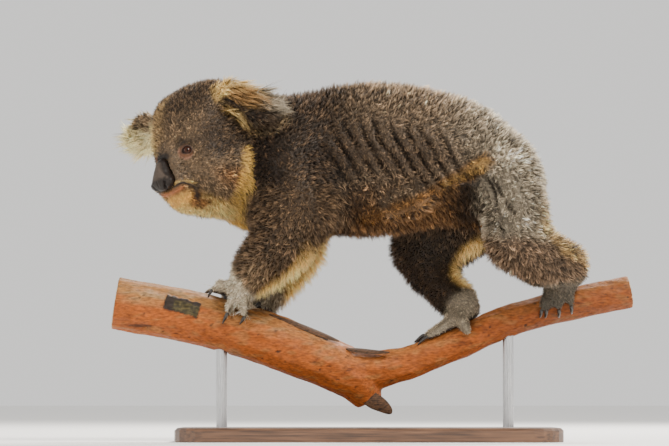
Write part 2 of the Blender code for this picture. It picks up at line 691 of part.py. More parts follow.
def loose_parts(mesh):
    """The separate bodies of a mesh, as bmeshes."""
    bm = bmesh.new()
    bm.from_mesh(mesh)
    bm.verts.ensure_lookup_table()
    tag = {}
    for seed in bm.verts:
        if seed in tag:
            continue
        number, stack = seed.index, [seed]
        tag[seed] = number
        while stack:
            for edge in stack.pop().link_edges:
                for vert in edge.verts:
                    if vert not in tag:
                        tag[vert] = number
                        stack.append(vert)
    for number in sorted(set(tag.values())):
        body = bm.copy()
        body.verts.ensure_lookup_table()
        others = [body.verts[v.index] for v in bm.verts if tag[v] != number]
        bmesh.ops.delete(body, geom=others, context="VERTS")
        yield body
    bm.free()


def part_block(name, cutters, keep, finish):
    """Carves a block, cuts it and keeps the parts that it is for."""
    block = add_object(name + "_block", carve_block(name), helper=True)
    for cutter in cutters:
        boolean(block, cutter)
    cut = evaluated_mesh(block)
    bpy.data.objects.remove(block)
    made = {}
    for body in loose_parts(cut):
        volume = abs(body.calc_volume(signed=True))
        middle = sum((v.co for v in body.verts), Vector()) / len(body.verts)
        closest = min(MIDDLES, key=lambda key: (Vector(MIDDLES[key]) - middle).length)
        if closest in keep and volume > CHIP:
            mesh = bpy.data.meshes.new(closest)
            body.to_mesh(mesh)
            made[closest] = add_object(closest, mesh, finish)
            made[closest].data.set_sharp_from_angle(angle=SHARP_ANGLE)
        body.free()
    return made


def make_ear(side, finish):
    """A round ear with a hollow front, as deep as its fringe is long."""
    middle, outward, facing, (thick, length, height) = EARS[side]
    outward = Vector(outward).normalized()
    facing = Vector(facing)
    facing = (facing - facing.dot(outward) * outward).normalized()
    across = facing.cross(outward)
    across = across if across.z > 0 else -across
    axes = np.array([facing, outward, across])
    middle = np.array(middle)
    clay = Clay(middle - EAR_BLOCK, middle + EAR_BLOCK, EAR_STEP)
    clay.ball(middle, (thick, length, height), axes, blend=0.001)
    root = middle - axes[1] * length * 0.75
    clay.ball(root, (thick * 1.1, 0.024, 0.026), axes, blend=0.015)
    for turn in range(-90, 91, 30):  # the fringe, in locks
        way = math.radians(turn)
        edge = middle + axes[1] * length * 0.75 * math.cos(way) + axes[2] * height * 0.75 * math.sin(way)
        out = axes[1] * math.cos(way * 0.8) + axes[2] * math.sin(way * 0.8) - 0.25 * axes[0]
        clay.bone(edge, edge + out * 0.013, 0.010, 0.005, 0.008)
    cup = (thick * 0.8, length * 0.6, height * 0.6)
    clay.ball(middle + axes[0] * thick * 1.25, cup, axes, 0.008, take=True)
    return add_object("ear_" + side, mesh_of(clay, "ear_" + side, EAR_TRIANGLES), finish)


def make_nose(finish):
    """The bare pad over the end of the muzzle, wider at its foot, with a nostril on each side."""
    axes = leaned(HEAD, NOSE_TILT)
    middle = head_point(NOSE_PLACE)
    thick, wide, tall = NOSE_SIZE
    clay = Clay(middle - 0.04, middle + 0.04, 0.0016)
    clay.ball(middle + axes[2] * tall * 0.28, (thick, wide * 0.52, tall * 0.72), axes, blend=0.001)
    clay.ball(middle - axes[2] * tall * 0.30, (thick * 1.05, wide * 0.86, tall * 0.66), axes, blend=0.010)
    for way in (1, -1):
        wing = middle + axes[1] * way * wide * 0.62 - axes[2] * tall * 0.45
        clay.ball(wing, (thick * 0.85, wide * 0.48, tall * 0.36), axes, blend=0.005)
        hole = wing + axes[0] * thick * 0.75 + axes[1] * way * wide * 0.22
        clay.ball(hole, (0.0045, 0.0026, 0.0045), axes, blend=0.002, take=True)
    return add_object("nose", mesh_of(clay, "nose", 220, 2), finish)


def make_eye(side, finish):
    place = head_point((EYE_PLACE[0], EYE_PLACE[1] * side, EYE_PLACE[2]))

    def ball(bm):
        bmesh.ops.create_icosphere(bm, subdivisions=2, radius=EYE_RADIUS)
        bmesh.ops.translate(bm, vec=place, verts=bm.verts)

    name = "eye_left" if side > 0 else "eye_right"
    eye = add_object(name, mesh_from(name, ball), finish)
    return eye


def off_bark(branch, place, clearance):
    """The place, moved out from the bark if it is closer to it than clearance."""
    _, spot, normal, _ = branch.closest_point_on_mesh(place)
    return place + normal * max(0.0, clearance - (place - spot).dot(normal))


def make_claw(name, branch, digit, tip, finish):
    """A curved claw that leaves the end of a digit and reaches the bark, and a helper that is room for it."""
    start, end = np.array(digit[-1], float), np.array(tip, float)
    bow = (start + end) / 2 + np.array((0.0, 0.0, CLAW_BOW))
    stations = []
    for i in range(CLAW_STEPS + 1):
        t = i / CLAW_STEPS
        x, turn, height = (1 - t) ** 2 * start + 2 * t * (1 - t) * bow + t * t * end
        thick = CLAW_RADIUS * (1 - t) ** 0.7 + 0.0007
        stations.append((off_bark(branch, Vector(branch_place(x, turn, height)), thick + GAP), thick))
    claw = add_object(name, tube(name, stations, CLAW_SIDES, 0.0), finish)
    back = (stations[0][0] - stations[1][0]).normalized() * GAP
    on = (stations[-1][0] - stations[-2][0]).normalized() * GAP
    places = [stations[0][0] + back, *[place for place, _ in stations[1:-1]], stations[-1][0] + on]
    wider = [(place, thick + CLAW_ROOM) for place, (_, thick) in zip(places, stations)]
    room = add_object(name + "_room", tube(name, wider, CLAW_SIDES, 0.0), helper=True)
    return claw, room


def make_koala(branch, coat, nose_skin, eye_glass, horn):
    branch_room = grown(branch, GAP)
    slices = {name: slice_cutter(name) for name in SLICES}
    cups = {name: cup_cutter(name) for name in CUPS}
    ears = [make_ear(side, coat) for side in ("left", "right")]
    face = [make_nose(nose_skin), make_eye(1, eye_glass), make_eye(-1, eye_glass)]
    rooms = [grown(thing, GAP) for thing in ears + face]

    for leg, (paw, digits) in PAWS.items():
        claws = [
            make_claw(f"claw_{paw}_{digit}", branch, joints, tip, horn)
            for digit, (joints, tip) in digits.items()
            if tip
        ]
        claw_rooms = [room for _, room in claws]
        middle_part = paw.replace("hand", "forearm").replace("foot", "shank")
        part_block(leg, [cups[leg], slices[leg], branch_room, *claw_rooms], [paw, middle_part], coat)
    part_block("head", [slices["neck_front"], *rooms], ["head"], coat)
    top_parts = ["neck", "trunk", "upper_arm_left", "upper_arm_right", "thigh_left", "thigh_right"]
    neck_slices = [slices["neck_front"], slices["neck_rear"]]
    part_block("body", [*neck_slices, *cups.values(), rooms[0]], top_parts, coat)


def clear_scene():
    for thing in list(bpy.data.objects):
        bpy.data.objects.remove(thing)


def main():
    clear_scene()
    coat = material("coat", SKIN_COLOUR, 0.9)
    bark = material("bark", BARK_COLOUR, 0.8)
    branch = make_branch(bark)
    make_stand(branch, material("base", BASE_COLOUR, 0.5), material("steel", ROD_COLOUR, 0.35, 1.0))
    settled(branch, bark)
    make_koala(
        branch,
        coat,
        material("nose_skin", NOSE_COLOUR, 0.55),
        material("eye", EYE_COLOUR, 0.1),
        material("claw", CLAW_COLOUR, 0.35),
    )


main()
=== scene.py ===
"""Looks of the koala on its branch: skin, coat, face, claws, bark, stand, lights and camera.

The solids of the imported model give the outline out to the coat's tips. One skin lies inside them by the
coat's depth, and the coat stands on it in tufts, each a thin closed blade.
"""

import math

import bmesh
import bpy
import numpy as np
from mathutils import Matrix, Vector, noise
from mathutils.bvhtree import BVHTree
from mathutils.kdtree import KDTree


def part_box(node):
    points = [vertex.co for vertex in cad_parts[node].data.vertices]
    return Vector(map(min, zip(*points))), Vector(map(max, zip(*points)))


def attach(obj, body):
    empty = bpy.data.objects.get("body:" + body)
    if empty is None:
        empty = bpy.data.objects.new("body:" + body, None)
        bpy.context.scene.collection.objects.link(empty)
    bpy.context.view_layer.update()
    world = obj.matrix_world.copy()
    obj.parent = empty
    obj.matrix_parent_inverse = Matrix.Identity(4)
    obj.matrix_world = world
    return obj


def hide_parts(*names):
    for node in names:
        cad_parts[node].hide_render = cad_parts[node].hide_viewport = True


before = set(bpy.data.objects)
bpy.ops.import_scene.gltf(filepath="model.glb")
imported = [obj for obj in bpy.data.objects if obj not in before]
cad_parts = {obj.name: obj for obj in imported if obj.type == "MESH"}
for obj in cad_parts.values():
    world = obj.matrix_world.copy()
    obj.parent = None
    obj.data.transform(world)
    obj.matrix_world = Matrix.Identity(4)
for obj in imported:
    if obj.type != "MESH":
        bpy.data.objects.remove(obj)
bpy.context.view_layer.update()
chance = np.random.default_rng(7)
MM = 0.001
SIDES = ("left", "right")
PERCH = "perch_branch"
X, Y, Z = range(3)


# ---------------- small helpers
def unit(vectors):
    length = np.linalg.norm(vectors, axis=-1, keepdims=True)
    return vectors / np.maximum(length, 1e-9)


def ease(x):
    """0 below 0, 1 above 1, smooth between."""
    x = np.clip(x, 0.0, 1.0)
    return x * x * (3 - 2 * x)


def above(values, start, over):
    """0 up to the start, then rising smoothly to 1 over a stretch."""
    return ease((values - start) / over)


def below(values, start, over):
    """0 down to the start, then rising smoothly to 1 over a stretch further down."""
    return ease((start - values) / over)


def colour(red, green, blue):
    """A colour as screens show it, 0 to 255, in the renderer's linear numbers."""
    s = np.array((red, green, blue)) / 255.0
    return np.where(s <= 0.04045, s / 12.92, ((s + 0.055) / 1.055) ** 2.4)


def middle_of(node):
    low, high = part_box(node)
    return np.array((low + high) / 2)


def at(node, *shares):
    """A place given as shares of a node's box."""
    low, high = (np.array(corner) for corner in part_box(node))
    return low + (high - low) * shares


def route(node, *places):
    """A path through places given as shares of a node's box."""
    return [at(node, *place) for place in places]


def level(node, axis, share):
    """How far along one axis a share of a node's box lies."""
    return at(node, share, share, share)[axis]


def off_path(points, path):
    """How far points are from a path of straight pieces, and how far along the path, from 0 to 1."""
    path = np.asarray(path, float)
    best = np.full(len(points), np.inf)
    along = np.zeros(len(points))
    pieces = len(path) - 1
    for k in range(pieces):
        step = path[k + 1] - path[k]
        t = np.clip((points - path[k]) @ step / (step @ step), 0.0, 1.0)
        away = np.linalg.norm(points - path[k] - t[:, None] * step, axis=1)
        along = np.where(away < best, (k + t) / pieces, along)
        best = np.minimum(best, away)
    return best, along


def bump(away, radius):
    """1 at no distance, falling off like a bell."""
    return np.exp(-((away / radius) ** 2))


def patchy(points, size, seed=0.0):
    """Soft noise from about -1 to 1, with patches of the given size."""
    shift = Vector((seed, seed * 1.7, seed * 0.6))
    return np.array([noise.noise(Vector(p) / size + shift) for p in points])


def column(items, name, width, kind=np.float32):
    """One property of all vertices, faces or loops, as rows."""
    values = np.empty(len(items) * width, kind)
    items.foreach_get(name, values)
    return values.reshape(-1, width)


def points_of(mesh):
    return column(mesh.vertices, "co", 3).astype(float)


def normals_of(mesh):
    return column(mesh.vertex_normals, "vector", 3).astype(float)


def set_points(mesh, points):
    mesh.vertices.foreach_set("co", points.astype(np.float32).ravel())
    mesh.update()


def give_colours(mesh, name, tint):
    layer = mesh.color_attributes.new(name, "FLOAT_COLOR", "POINT")
    rows = np.column_stack([np.clip(tint, 0, 1), np.ones(len(tint))])
    layer.data.foreach_set("color", rows.astype(np.float32).ravel())


def mesh_of(name, points, faces):
    mesh = bpy.data.meshes.new(name)
    mesh.from_pydata(np.asarray(points).tolist(), [], faces)
    mesh.update()
    return mesh


def merged(node):
    """A CAD node's mesh with its split corners joined again."""
    bm = bmesh.new()
    bm.from_mesh(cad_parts[node].data)
    bmesh.ops.remove_doubles(bm, verts=bm.verts, dist=1e-5)
    bm.normal_update()
    return bm


def mesh_from(bm, name):
    mesh = bpy.data.meshes.new(name)
    bm.to_mesh(mesh)
    bm.free()
    return mesh


def linked(name, data):
    """A new object in the scene."""
    made = bpy.data.objects.new(name, data)
    bpy.context.scene.collection.objects.link(made)
    return made


def add_piece(name, mesh, finish, replaces=()):
    """Links a mesh as a piece of the model, shaded smooth, that rides on its one body."""
    piece = linked(name, mesh)
    mesh.shade_smooth()
    mesh.materials.clear()
    mesh.materials.append(finish)
    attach(piece, "root")
    if replaces:
        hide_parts(*replaces)


def evaluated(mesh, kind, **settings):
    """The mesh after a modifier."""
    holder = linked("holder", mesh)
    modifier = holder.modifiers.new(kind.lower(), kind)
    for key, value in settings.items():
        setattr(modifier, key, value)
    bpy.context.view_layer.update()
    graph = bpy.context.evaluated_depsgraph_get()
    made = bpy.data.meshes.new_from_object(holder.evaluated_get(graph), depsgraph=graph)
    bpy.data.objects.remove(holder)
    return made


def remeshed(mesh, step):
    return evaluated(mesh, "REMESH", mode="VOXEL", voxel_size=step)


class Web:
    """A mesh's vertices with their neighbours, for averaging values over the surface."""

    def __init__(self, mesh):
        self.count = len(mesh.vertices)
        self.a, self.b = column(mesh.edges, "vertices", 2, np.int32).T
        self.ties = np.bincount(self.a, minlength=self.count) + np.bincount(self.b, minlength=self.count)

    def spread(self, values, times, share=0.6):
        flat = values.reshape(self.count, -1).astype(float)
        for _ in range(times):
            mean = np.empty_like(flat)
            for k in range(flat.shape[1]):
                total = np.bincount(self.a, flat[self.b, k], self.count)
                total += np.bincount(self.b, flat[self.a, k], self.count)
                mean[:, k] = total / np.maximum(self.ties, 1)
            flat = flat * (1 - share) + mean * share
        return flat.reshape(values.shape)


# ---------------- materials
class Finish:
    """A Principled material being put together from procedural nodes."""

    def __init__(self, name, roughness=0.6, specular=0.4, coat=0.0, metallic=0.0):
        self.material = bpy.data.materials.new(name)
        self.material.use_nodes = True
        self.tree = self.material.node_tree
        self.shader = self.tree.nodes["Principled BSDF"]
        look = {"Roughness": roughness, "Specular IOR Level": specular}
        self.feed(self.shader, {**look, "Coat Weight": coat, "Metallic": metallic})
        self.where = self.add("ShaderNodeTexCoord", "Object")

    def feed(self, node, inputs):
        """Links the inputs that are given as sockets, and sets those that are given as values."""
        for key, value in inputs.items():
            if isinstance(value, bpy.types.NodeSocket):
                self.tree.links.new(value, node.inputs[key])
            else:
                node.inputs[key].default_value = value

    def add(self, kind, output, inputs=(), **settings):
        """The output of a new node."""
        node = self.tree.nodes.new(kind)
        for key, value in settings.items():
            setattr(node, key, value)
        self.feed(node, dict(inputs))
        return node.outputs[output]

    def stretched(self, *scale):
        return self.add("ShaderNodeMapping", "Vector", {"Scale": scale, "Vector": self.where})

    def noise(self, size, detail=4.0, where=None):
        inputs = {"Scale": 1 / size, "Detail": detail, "Vector": where or self.where}
        return self.add("ShaderNodeTexNoise", "Fac", inputs)

    def cells(self, size):
        return self.add("ShaderNodeTexVoronoi", "Distance", {"Scale": 1 / size, "Vector": self.where})

    def ramp(self, source, *stops):
        """Colours or greys along a value, from two stops, each a place and a linear colour or a grey."""
        node = self.tree.nodes.new("ShaderNodeValToRGB")
        for point, (place, tone) in zip(node.color_ramp.elements, stops):
            point.position = place
            point.color = (*(np.ones(3) * tone), 1.0)
        self.feed(node, {"Fac": source})
        return node.outputs["Color"]

    def times(self, a, b, share=1.0):
        """Two colours multiplied."""
        kind = {"data_type": "RGBA", "blend_type": "MULTIPLY"}
        return self.add("ShaderNodeMix", "Result", {"Factor": share, "A": a, "B": b}, **kind)

    def base(self, source):
        self.feed(self.shader, {"Base Color": source})

    def painted(self, layer, shade):
        """The colour kept at the mesh's vertices, times a shade."""
        return self.times(self.add("ShaderNodeVertexColor", "Color", layer_name=layer), shade)

    def rough(self, source, low, high):
        self.feed(self.shader, {"Roughness": self.ramp(source, (0.3, low), (0.7, high))})

    def relief(self, source, height, strength=1.0):
        inputs = {"Distance": height, "Strength": strength, "Height": source}
        self.feed(self.shader, {"Normal": self.add("ShaderNodeBump", "Normal", inputs)})


def coat_finish():
    made = Finish("coat", roughness=0.62, specular=0.3)
    grain = made.ramp(made.noise(2.5 * MM, 3.0), (0.3, 0.78), (0.7, 1.2))
    made.base(made.painted("coat_colour", grain))
    made.rough(made.noise(6 * MM), 0.52, 0.72)
    return made.material


def skin_finish():
    made = Finish("skin", roughness=0.6, specular=0.35)
    grain = made.ramp(made.noise(1.6 * MM, 5.0), (0.32, 0.72), (0.68, 1.22))
    made.base(made.painted("coat_colour", grain))
    made.rough(made.noise(3 * MM), 0.48, 0.7)
    made.relief(made.noise(1.1 * MM, 3.0, made.stretched(1.0, 1.0, 0.45)), 0.5 * MM, 0.8)
    return made.material


# ---------------- the head's own directions
EYE_FORWARD, EYE_HEIGHT = 0.061, -0.0275  # where the eyes are from the middle of the head
NOSE_DROP = math.atan2(0.0315, 0.0255)  # how steeply the nose lies below the eyes


def head_frame():
    """The head's middle, and rows forward, left and up as the head is held, from its eyes and nose."""
    eyes = [middle_of("eye_left"), middle_of("eye_right")]
    between = (eyes[0] + eyes[1]) / 2
    left = unit(eyes[0] - eyes[1])
    down = middle_of("nose") - between
    down = unit(down - (down @ left) * left)
    across = np.cross(left, down)
    forward = math.cos(NOSE_DROP) * down - math.sin(NOSE_DROP) * across
    up = np.cross(forward, left)
    return between - EYE_FORWARD * forward - EYE_HEIGHT * up, np.array((forward, left, up))


HEAD_MIDDLE, HEAD = head_frame()


def in_head(points):
    """World places as forward, left and up from the middle of the head."""
    return (points - HEAD_MIDDLE) @ HEAD.T


def from_head(places):
    return HEAD_MIDDLE + places @ HEAD


def line(*places):
    """A path in the head's own directions, given in tenths of a millimetre."""
    return np.array(places) / 10000


def head_route(*places):
    """The same path in world places."""
    return from_head(line(*places))


def off_line(head, path):
    """Distance on both sides of the face from a path given for its left side."""
    return np.minimum(off_path(head, path)[0], off_path(head, path * (1, -1, 1))[0])


def moulded(head, table):
    """How high a surface rises by a table's rows, each a path, its radius and its height in millimetres."""
    return sum(bump(off_line(head, path), radius * MM) * height * MM for path, radius, height in table)


class Eye:
    """One eye: its middle, radius, and rows out of the eye, towards the nose and up."""

    OUT = (0.6, 0.78, 0.04)
    OPENING = 6.4 * MM  # half the width of the gap between the lids
    TALL = 0.92  # the gap's height as a share of its width
    DRAWN, TURNED = 0.3, 0.35  # how far the gap's inner corner is drawn out, and turned down
    DEPTH = 4 * MM  # how far behind the eye's middle the gap ends
    REACH = 19 * MM  # how far from the eye's axis the lids reach
    BACK = 7 * MM  # and how far behind its middle
    DROP = 3.5 * MM  # how far inside the eye the skin lies in the gap
    RIM, RIM_WIDTH = 0.5 * MM, 1.2 * MM  # the lids' raised edge
    CREASE, CREASE_AT = 0.7 * MM, 3.6 * MM  # depth of the upper lid's crease, and its place from the edge
    LID = 1.3 * MM  # thickness of the lids over the eye
    BARE = 13.0 * MM  # radius of the ring of bare skin
    BARE_SHIFT = (2.4 * MM, -1.8 * MM)  # its middle from the eye's, towards the nose and up

    def __init__(self, side):
        low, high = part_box("eye_" + side)
        self.middle, self.radius = middle_of("eye_" + side), (high - low).x / 2
        sign = 1 if side == "left" else -1
        out = unit(np.array(self.OUT) * (1, sign, 1)) @ HEAD
        front = unit(HEAD[0] - (HEAD[0] @ out) * out)
        up = np.cross(out, front) * sign
        self.rows = np.array((out, front, up * np.sign(up @ HEAD[2])))

    def local(self, points):
        """Height over the eye's middle, places towards the nose and up, and the distance from the axis."""
        height, front, up = ((points - self.middle) @ self.rows.T).T
        return height, front, up, np.hypot(front, up)

    def beyond(self, points):
        """Distance outside the lids' edges, across the face, less than 0 in the gap."""
        height, front, up, away = self.local(points)
        angle = np.arctan2(up, front)
        corner = self.DRAWN * np.maximum(np.cos(angle + self.TURNED), 0) ** 6
        edge = self.OPENING * (1 + corner) * np.hypot(np.cos(angle), self.TALL * np.sin(angle))
        return np.where(height > -self.DEPTH, away - edge, 1.0)


EYES = [Eye(side) for side in SIDES]

# ---------------- colours of the coat
GREY_BROWN = colour(126, 106, 84)
DARK_BROWN = colour(74, 55, 38)
RUMP_GREY = colour(162, 149, 128)
FLANK_TAN = colour(160, 100, 44)
CREAM = colour(252, 206, 120)
IVORY = colour(255, 234, 178)
YELLOW = colour(255, 206, 96)
FACE_GREY = colour(124, 101, 75)
EAR_TAN = colour(146, 106, 64)
DIGIT_GREY = colour(166, 152, 130)
PAD_DARK = colour(50, 42, 38)
BARE_PINK = colour(104, 72, 53)
LIP_PINK = colour(168, 102, 58)
LID_DARK = colour(30, 19, 14)
CHIN_TONE = colour(232, 172, 82)

# ---------------- skin
LIMBS = {"foreleg": ("upper_arm", "forearm", "hand"), "hindleg": ("thigh", "shank", "foot")}
LEGS = {f"{pair}_{side}": [f"{part}_{side}" for part in LIMBS[pair]] for pair in LIMBS for side in SIDES}
FLESH = ["head", "neck", "trunk", "ear_left", "ear_right"]
FLESH += [part for parts in LEGS.values() for part in parts]
SEAM = 0.8 * MM  # the solids are swelled by this, so that the cuts between them close
SKIN_STEP = 3.2 * MM
STANDING = 0.84  # how high a tuft's tip comes, as a share of its length times the sine of its lift
FURROW = 22 * MM  # from one furrow of the flank to the next
FURROW_DEPTH = 9.0 * MM
SWIRL = 0.35  # how far the coat's lie wanders from its way

# Coat on each part of the body: length and width of a tuft, how steeply it stands at its root in degrees,
# and how many roots there are for each square millimetre.
COAT = {
    "head": (0.0085, 0.0007, 72, 0.68),
    "ear": (0.033, 0.0009, 26, 0.72),
    "neck": (0.0125, 0.0009, 72, 0.54),
    "trunk": (0.0125, 0.00095, 74, 0.46),
    "upper_arm": (0.0115, 0.0009, 72, 0.5),
    "forearm": (0.011, 0.00085, 66, 0.52),
    "hand": (0.0052, 0.0006, 42, 1.00),
    "thigh": (0.012, 0.0009, 72, 0.48),
    "shank": (0.011, 0.00085, 66, 0.5),
    "foot": (0.0052, 0.0006, 42, 1.00),
}
PAW_LIGHT_AND_SHADE = {"foreleg_left": 1.8, "hindleg_left": 0.3}  # painted light on the near hand and painted shade on the near foot, beside the far paws
EAR_COAT = {"tint": CREAM * 0.45, "pale": IVORY * 0.85, "paler": 0.5, "wild": 0.16}

# The pale bib from the throat to the chest: the ends of its stretches in shares of the neck's box, and the
# radius at each end.
BIB = (
    ((0.44, 0.11, 0.56), (0.42, 0.105, 0.48), (0.003, 0.009)),
    ((0.42, 0.105, 0.48), (0.4, 0.1, 0.286), (0.009, 0.014)),
    ((0.4, 0.1, 0.286), (0.33, 0.25, 0.08), (0.014, 0.034)),
    ((0.33, 0.25, 0.08), (0.25, 0.6, 0.000), (0.036, 0.045)),
    ((0.28, 0.9, 0.05), (0.2, 0.97, 0.45), (0.04, 0.014)),
)

# The fold of loose skin, and the pale ridge of the belly, in shares of the trunk's box.
FOLD = ((0.8, 0.445), (0.735, 0.415), (0.69, 0.365), (0.65, 0.305))
RIDGE = ((0.433, 0.28, 0.16), (0.568, 0.067, 0.255), (0.675, 0.068, 0.372), (0.79, 0.065, 0.49))

# Wrinkles on the near thigh, in shares of the length and height of its box.
WRINKLES = (((0.1, 0.86), (0.2, 0.62), (0.22, 0.4)), ((0.22, 0.78), (0.3, 0.6)), ((0.34, 0.5), (0.46, 0.36)),
            ((0.6, 0.34), (0.74, 0.44)), ((0.16, 0.3), (0.3, 0.16)), ((0.02, 0.6), (0.06, 0.36)))

# Lines on the face, and how the skin rises or sinks along them.
MOUTH = line((880, 0, -818), (810, 160, -808), (774, 265, -775), (735, 288, -766), (632, 295, -780),
             (532, 302, -813), (457, 265, -938))
CORNER = MOUTH[5:]
UPPER_LIP = line((880, 0, -775), (827, 229, -757), (678, 310, -740), (550, 334, -765))
LOWER_LIP = line((800, 0, -880), (765, 120, -865), (725, 235, -840))
CHIN = line((700, 0, -960), (604, 190, -945), (540, 225, -950))
MUZZLE_CREASE = line((800, 250, -640), (640, 380, -640), (500, 430, -760))
PHILTRUM = line((900, 0, -760), (850, 0, -840))
EYE_FOLD = line((730, 260, -450), (600, 450, -470), (480, 560, -380))
BROW = line((735, 240, -180), (650, 350, -135), (540, 480, -150))
FACE_RELIEF = ((MOUTH, 2.2, -2.6), (CORNER, 3.0, -1.8), (UPPER_LIP, 3.0, 1.2), (LOWER_LIP, 3.0, 1.0),
               (PHILTRUM, 1.4, -1.2), (MUZZLE_CREASE, 3.5, -1.2), (EYE_FOLD, 2.2, -1.0), (BROW, 4.5, 1.2))

# How the coat lies: along the trunk and the neck, away from the top of the nose, and on each ear away from
# its root and along a stream.
TRUNK_WAY, NECK_WAY = np.array((1.0, 0.0, -0.3)), np.array((0.75, 0.0, -0.66))
NOSE_TOP = np.array((0.085, 0.0, -0.04))
EAR_STREAM = {"left": (1.0, -0.1, -0.3), "right": (-0.45, 0.1, -0.2)}
EAR_SPREAD = {"left": 0.18, "right": 0.6}
EAR_ROOT = {"left": at("ear_left", 0.06, 0.7, 0.55), "right": at("ear_right", 0.92, 0.15, 0.45)}


def part_name(node):
    """A node's name without its side."""
    return node.rsplit("_", 1)[0] if node.endswith(SIDES) else node


def flesh_union():
    """All flesh solids and the eyes as one mesh, each a little swelled, and a node's number for each face."""
    points, faces, owner = [], [], []
    for number, node in enumerate(FLESH + ["eye_left", "eye_right"]):
        bm = merged(node)
        start = len(points)
        points += [vert.co + vert.normal * SEAM for vert in bm.verts]
        for face in bm.faces:
            faces.append([vert.index + start for vert in face.verts])
            owner.append(number if number < len(FLESH) else 0)
        bm.free()
    return points, faces, np.array(owner)


def refine_face(mesh):
    """Smaller faces on the front of the head, and smaller still at the eyes and the mouth."""
    bm = bmesh.new()
    bm.from_mesh(mesh)
    for finer in (False, True):
        places = np.array([vert.co for vert in bm.verts])
        forward, left, up = in_head(places).T
        inside = (forward > 0.012) & (np.abs(left) < 0.075) & (np.abs(up + 0.05) < 0.075)
        if finer:
            near_eye = np.minimum(*(eye.local(places)[3] for eye in EYES)) < 15 * MM
            inside &= near_eye | ((np.abs(left) < 0.038) & (up < -0.055) & (forward > 0.032))
        chosen = {int(i) for i in np.flatnonzero(inside)}
        edges = [e for e in bm.edges if e.verts[0].index in chosen and e.verts[1].index in chosen]
        bmesh.ops.subdivide_edges(bm, edges=edges, cuts=1, use_grid_fill=True)
        bm.verts.index_update()
    bmesh.ops.triangulate(bm, faces=[face for face in bm.faces if len(face.verts) > 4])
    bm.to_mesh(mesh)
    bm.free()
    mesh.update()


